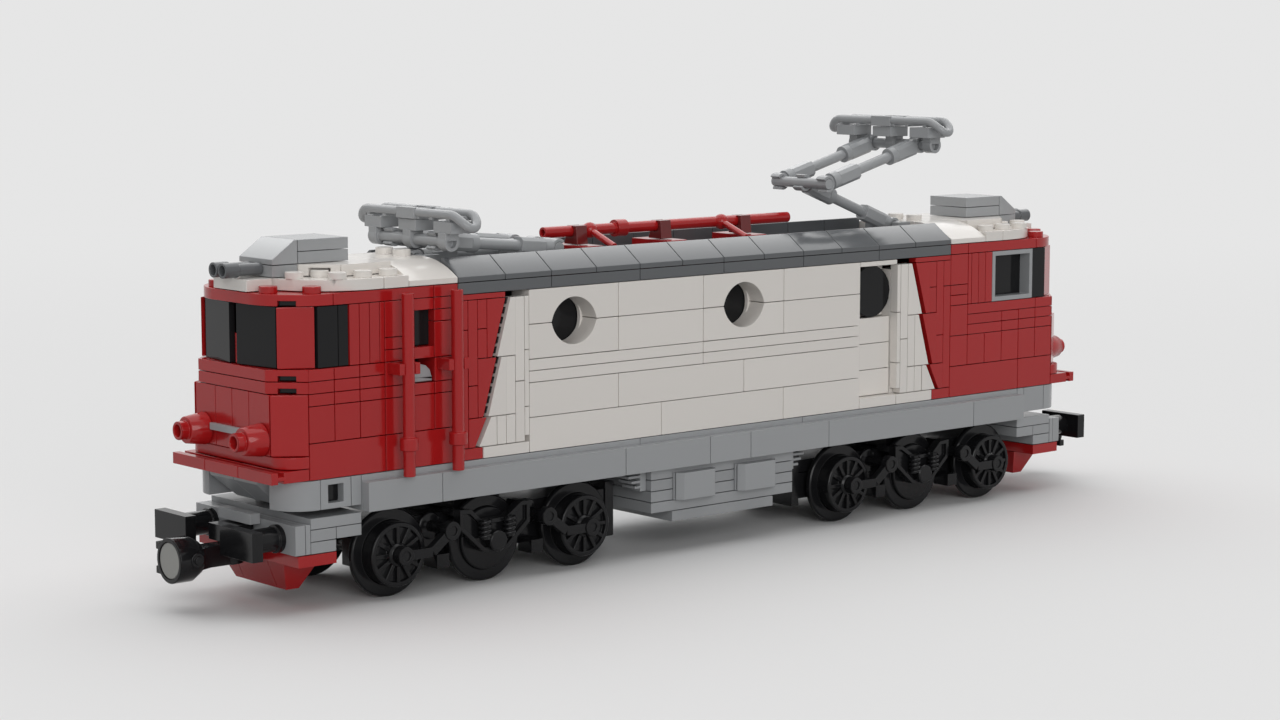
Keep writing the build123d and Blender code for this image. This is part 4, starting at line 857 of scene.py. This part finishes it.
def pale_floor():
    """A wide pale floor that fades into the backdrop, and throws back less light than it shows."""
    mesh = bpy.data.meshes.new("floor")
    corners = [(x * FLOOR_HALF, y * FLOOR_HALF, 0) for x, y in ((-1, -1), (1, -1), (1, 1), (-1, 1))]
    mesh.from_pydata(corners, [], [(0, 1, 2, 3)])
    floor = bpy.data.objects.new("floor", mesh)
    bpy.context.scene.collection.objects.link(floor)
    material = bpy.data.materials.new("floor")
    material.use_nodes = True
    tree = material.node_tree
    tree.nodes.clear()
    out = node_at(tree, "ShaderNodeOutputMaterial", 4, 0)
    near = node_at(tree, "ShaderNodeBsdfDiffuse", 1, 1)
    tone = node_at(tree, "ShaderNodeMix", 0, 1, data_type="RGBA")
    tone.inputs["A"].default_value = FLOOR_BOUNCE
    tone.inputs["B"].default_value = BACKDROP
    far = node_at(tree, "ShaderNodeEmission", 1, 0)
    place = node_at(tree, "ShaderNodeNewGeometry", -2, -1)
    distance = node_at(tree, "ShaderNodeVectorMath", -1, -1, operation="LENGTH")
    fade = node_at(tree, "ShaderNodeMapRange", 0, -1, interpolation_type="SMOOTHSTEP")
    fade.inputs["From Min"].default_value, fade.inputs["From Max"].default_value = FADE
    mix = node_at(tree, "ShaderNodeMixShader", 3, 0)
    link = tree.links.new
    link(seen_or_reflected(tree, -4, 2), tone.inputs["Factor"])
    link(tone.outputs["Result"], near.inputs["Color"])
    link(tone.outputs["Result"], far.inputs["Color"])
    link(place.outputs["Position"], distance.inputs[0])
    link(distance.outputs["Value"], fade.inputs["Value"])
    link(fade.outputs["Result"], mix.inputs["Fac"])
    link(near.outputs[0], mix.inputs[1])
    link(far.outputs[0], mix.inputs[2])
    link(mix.outputs[0], out.inputs["Surface"])
    mesh.materials.append(material)


def soft_sun(name, strength, spread, azimuth, height):
    """A wide sun lamp that shines from an azimuth and height in degrees."""
    lamp = bpy.data.lights.new(name, "SUN")
    lamp.energy = strength
    lamp.angle = math.radians(spread)
    obj = bpy.data.objects.new(name, lamp)
    bpy.context.scene.collection.objects.link(obj)
    a, h = math.radians(azimuth), math.radians(height)
    towards = Vector((math.sin(a) * math.cos(h), -math.cos(a) * math.cos(h), math.sin(h)))
    obj.rotation_euler = towards.to_track_quat("Z", "Y").to_euler()


def studio_world():
    """An even surround that lights the model, and shows as the backdrop."""
    world = bpy.data.worlds.new("studio")
    bpy.context.scene.world = world
    world.use_nodes = True
    tree = world.node_tree
    tree.nodes.clear()
    out = node_at(tree, "ShaderNodeOutputWorld", 2, 0)
    fill = node_at(tree, "ShaderNodeBackground", 0, 0)
    fill.inputs["Color"].default_value = (1, 1, 1, 1)
    fill.inputs["Strength"].default_value = SURROUND
    seen = node_at(tree, "ShaderNodeBackground", 0, -1)
    seen.inputs["Color"].default_value = BACKDROP
    seen.inputs["Strength"].default_value = 1.0
    mix = node_at(tree, "ShaderNodeMixShader", 1, 0)
    tree.links.new(seen_or_reflected(tree, -3, 1), mix.inputs["Fac"])
    tree.links.new(fill.outputs[0], mix.inputs[1])
    tree.links.new(seen.outputs[0], mix.inputs[2])
    tree.links.new(mix.outputs[0], out.inputs["Surface"])


def photo_camera():
    """The camera where the photo was taken from."""
    data = bpy.data.cameras.new("photo_camera")
    data.sensor_width = 36.0
    data.lens = LENS
    camera = bpy.data.objects.new("photo_camera", data)
    camera.location = CAMERA
    camera.rotation_euler = (math.pi / 2 - CAMERA_DOWN, 0, CAMERA_TURN)
    bpy.context.scene.collection.objects.link(camera)
    bpy.context.scene.camera = camera


pale_floor()
studio_world()
soft_sun("top_light", strength=2.3, spread=100, azimuth=150, height=66)
soft_sun("front_fill", strength=1.15, spread=40, azimuth=-26, height=16)
photo_camera()
bpy.context.scene.view_settings.view_transform = "Standard"
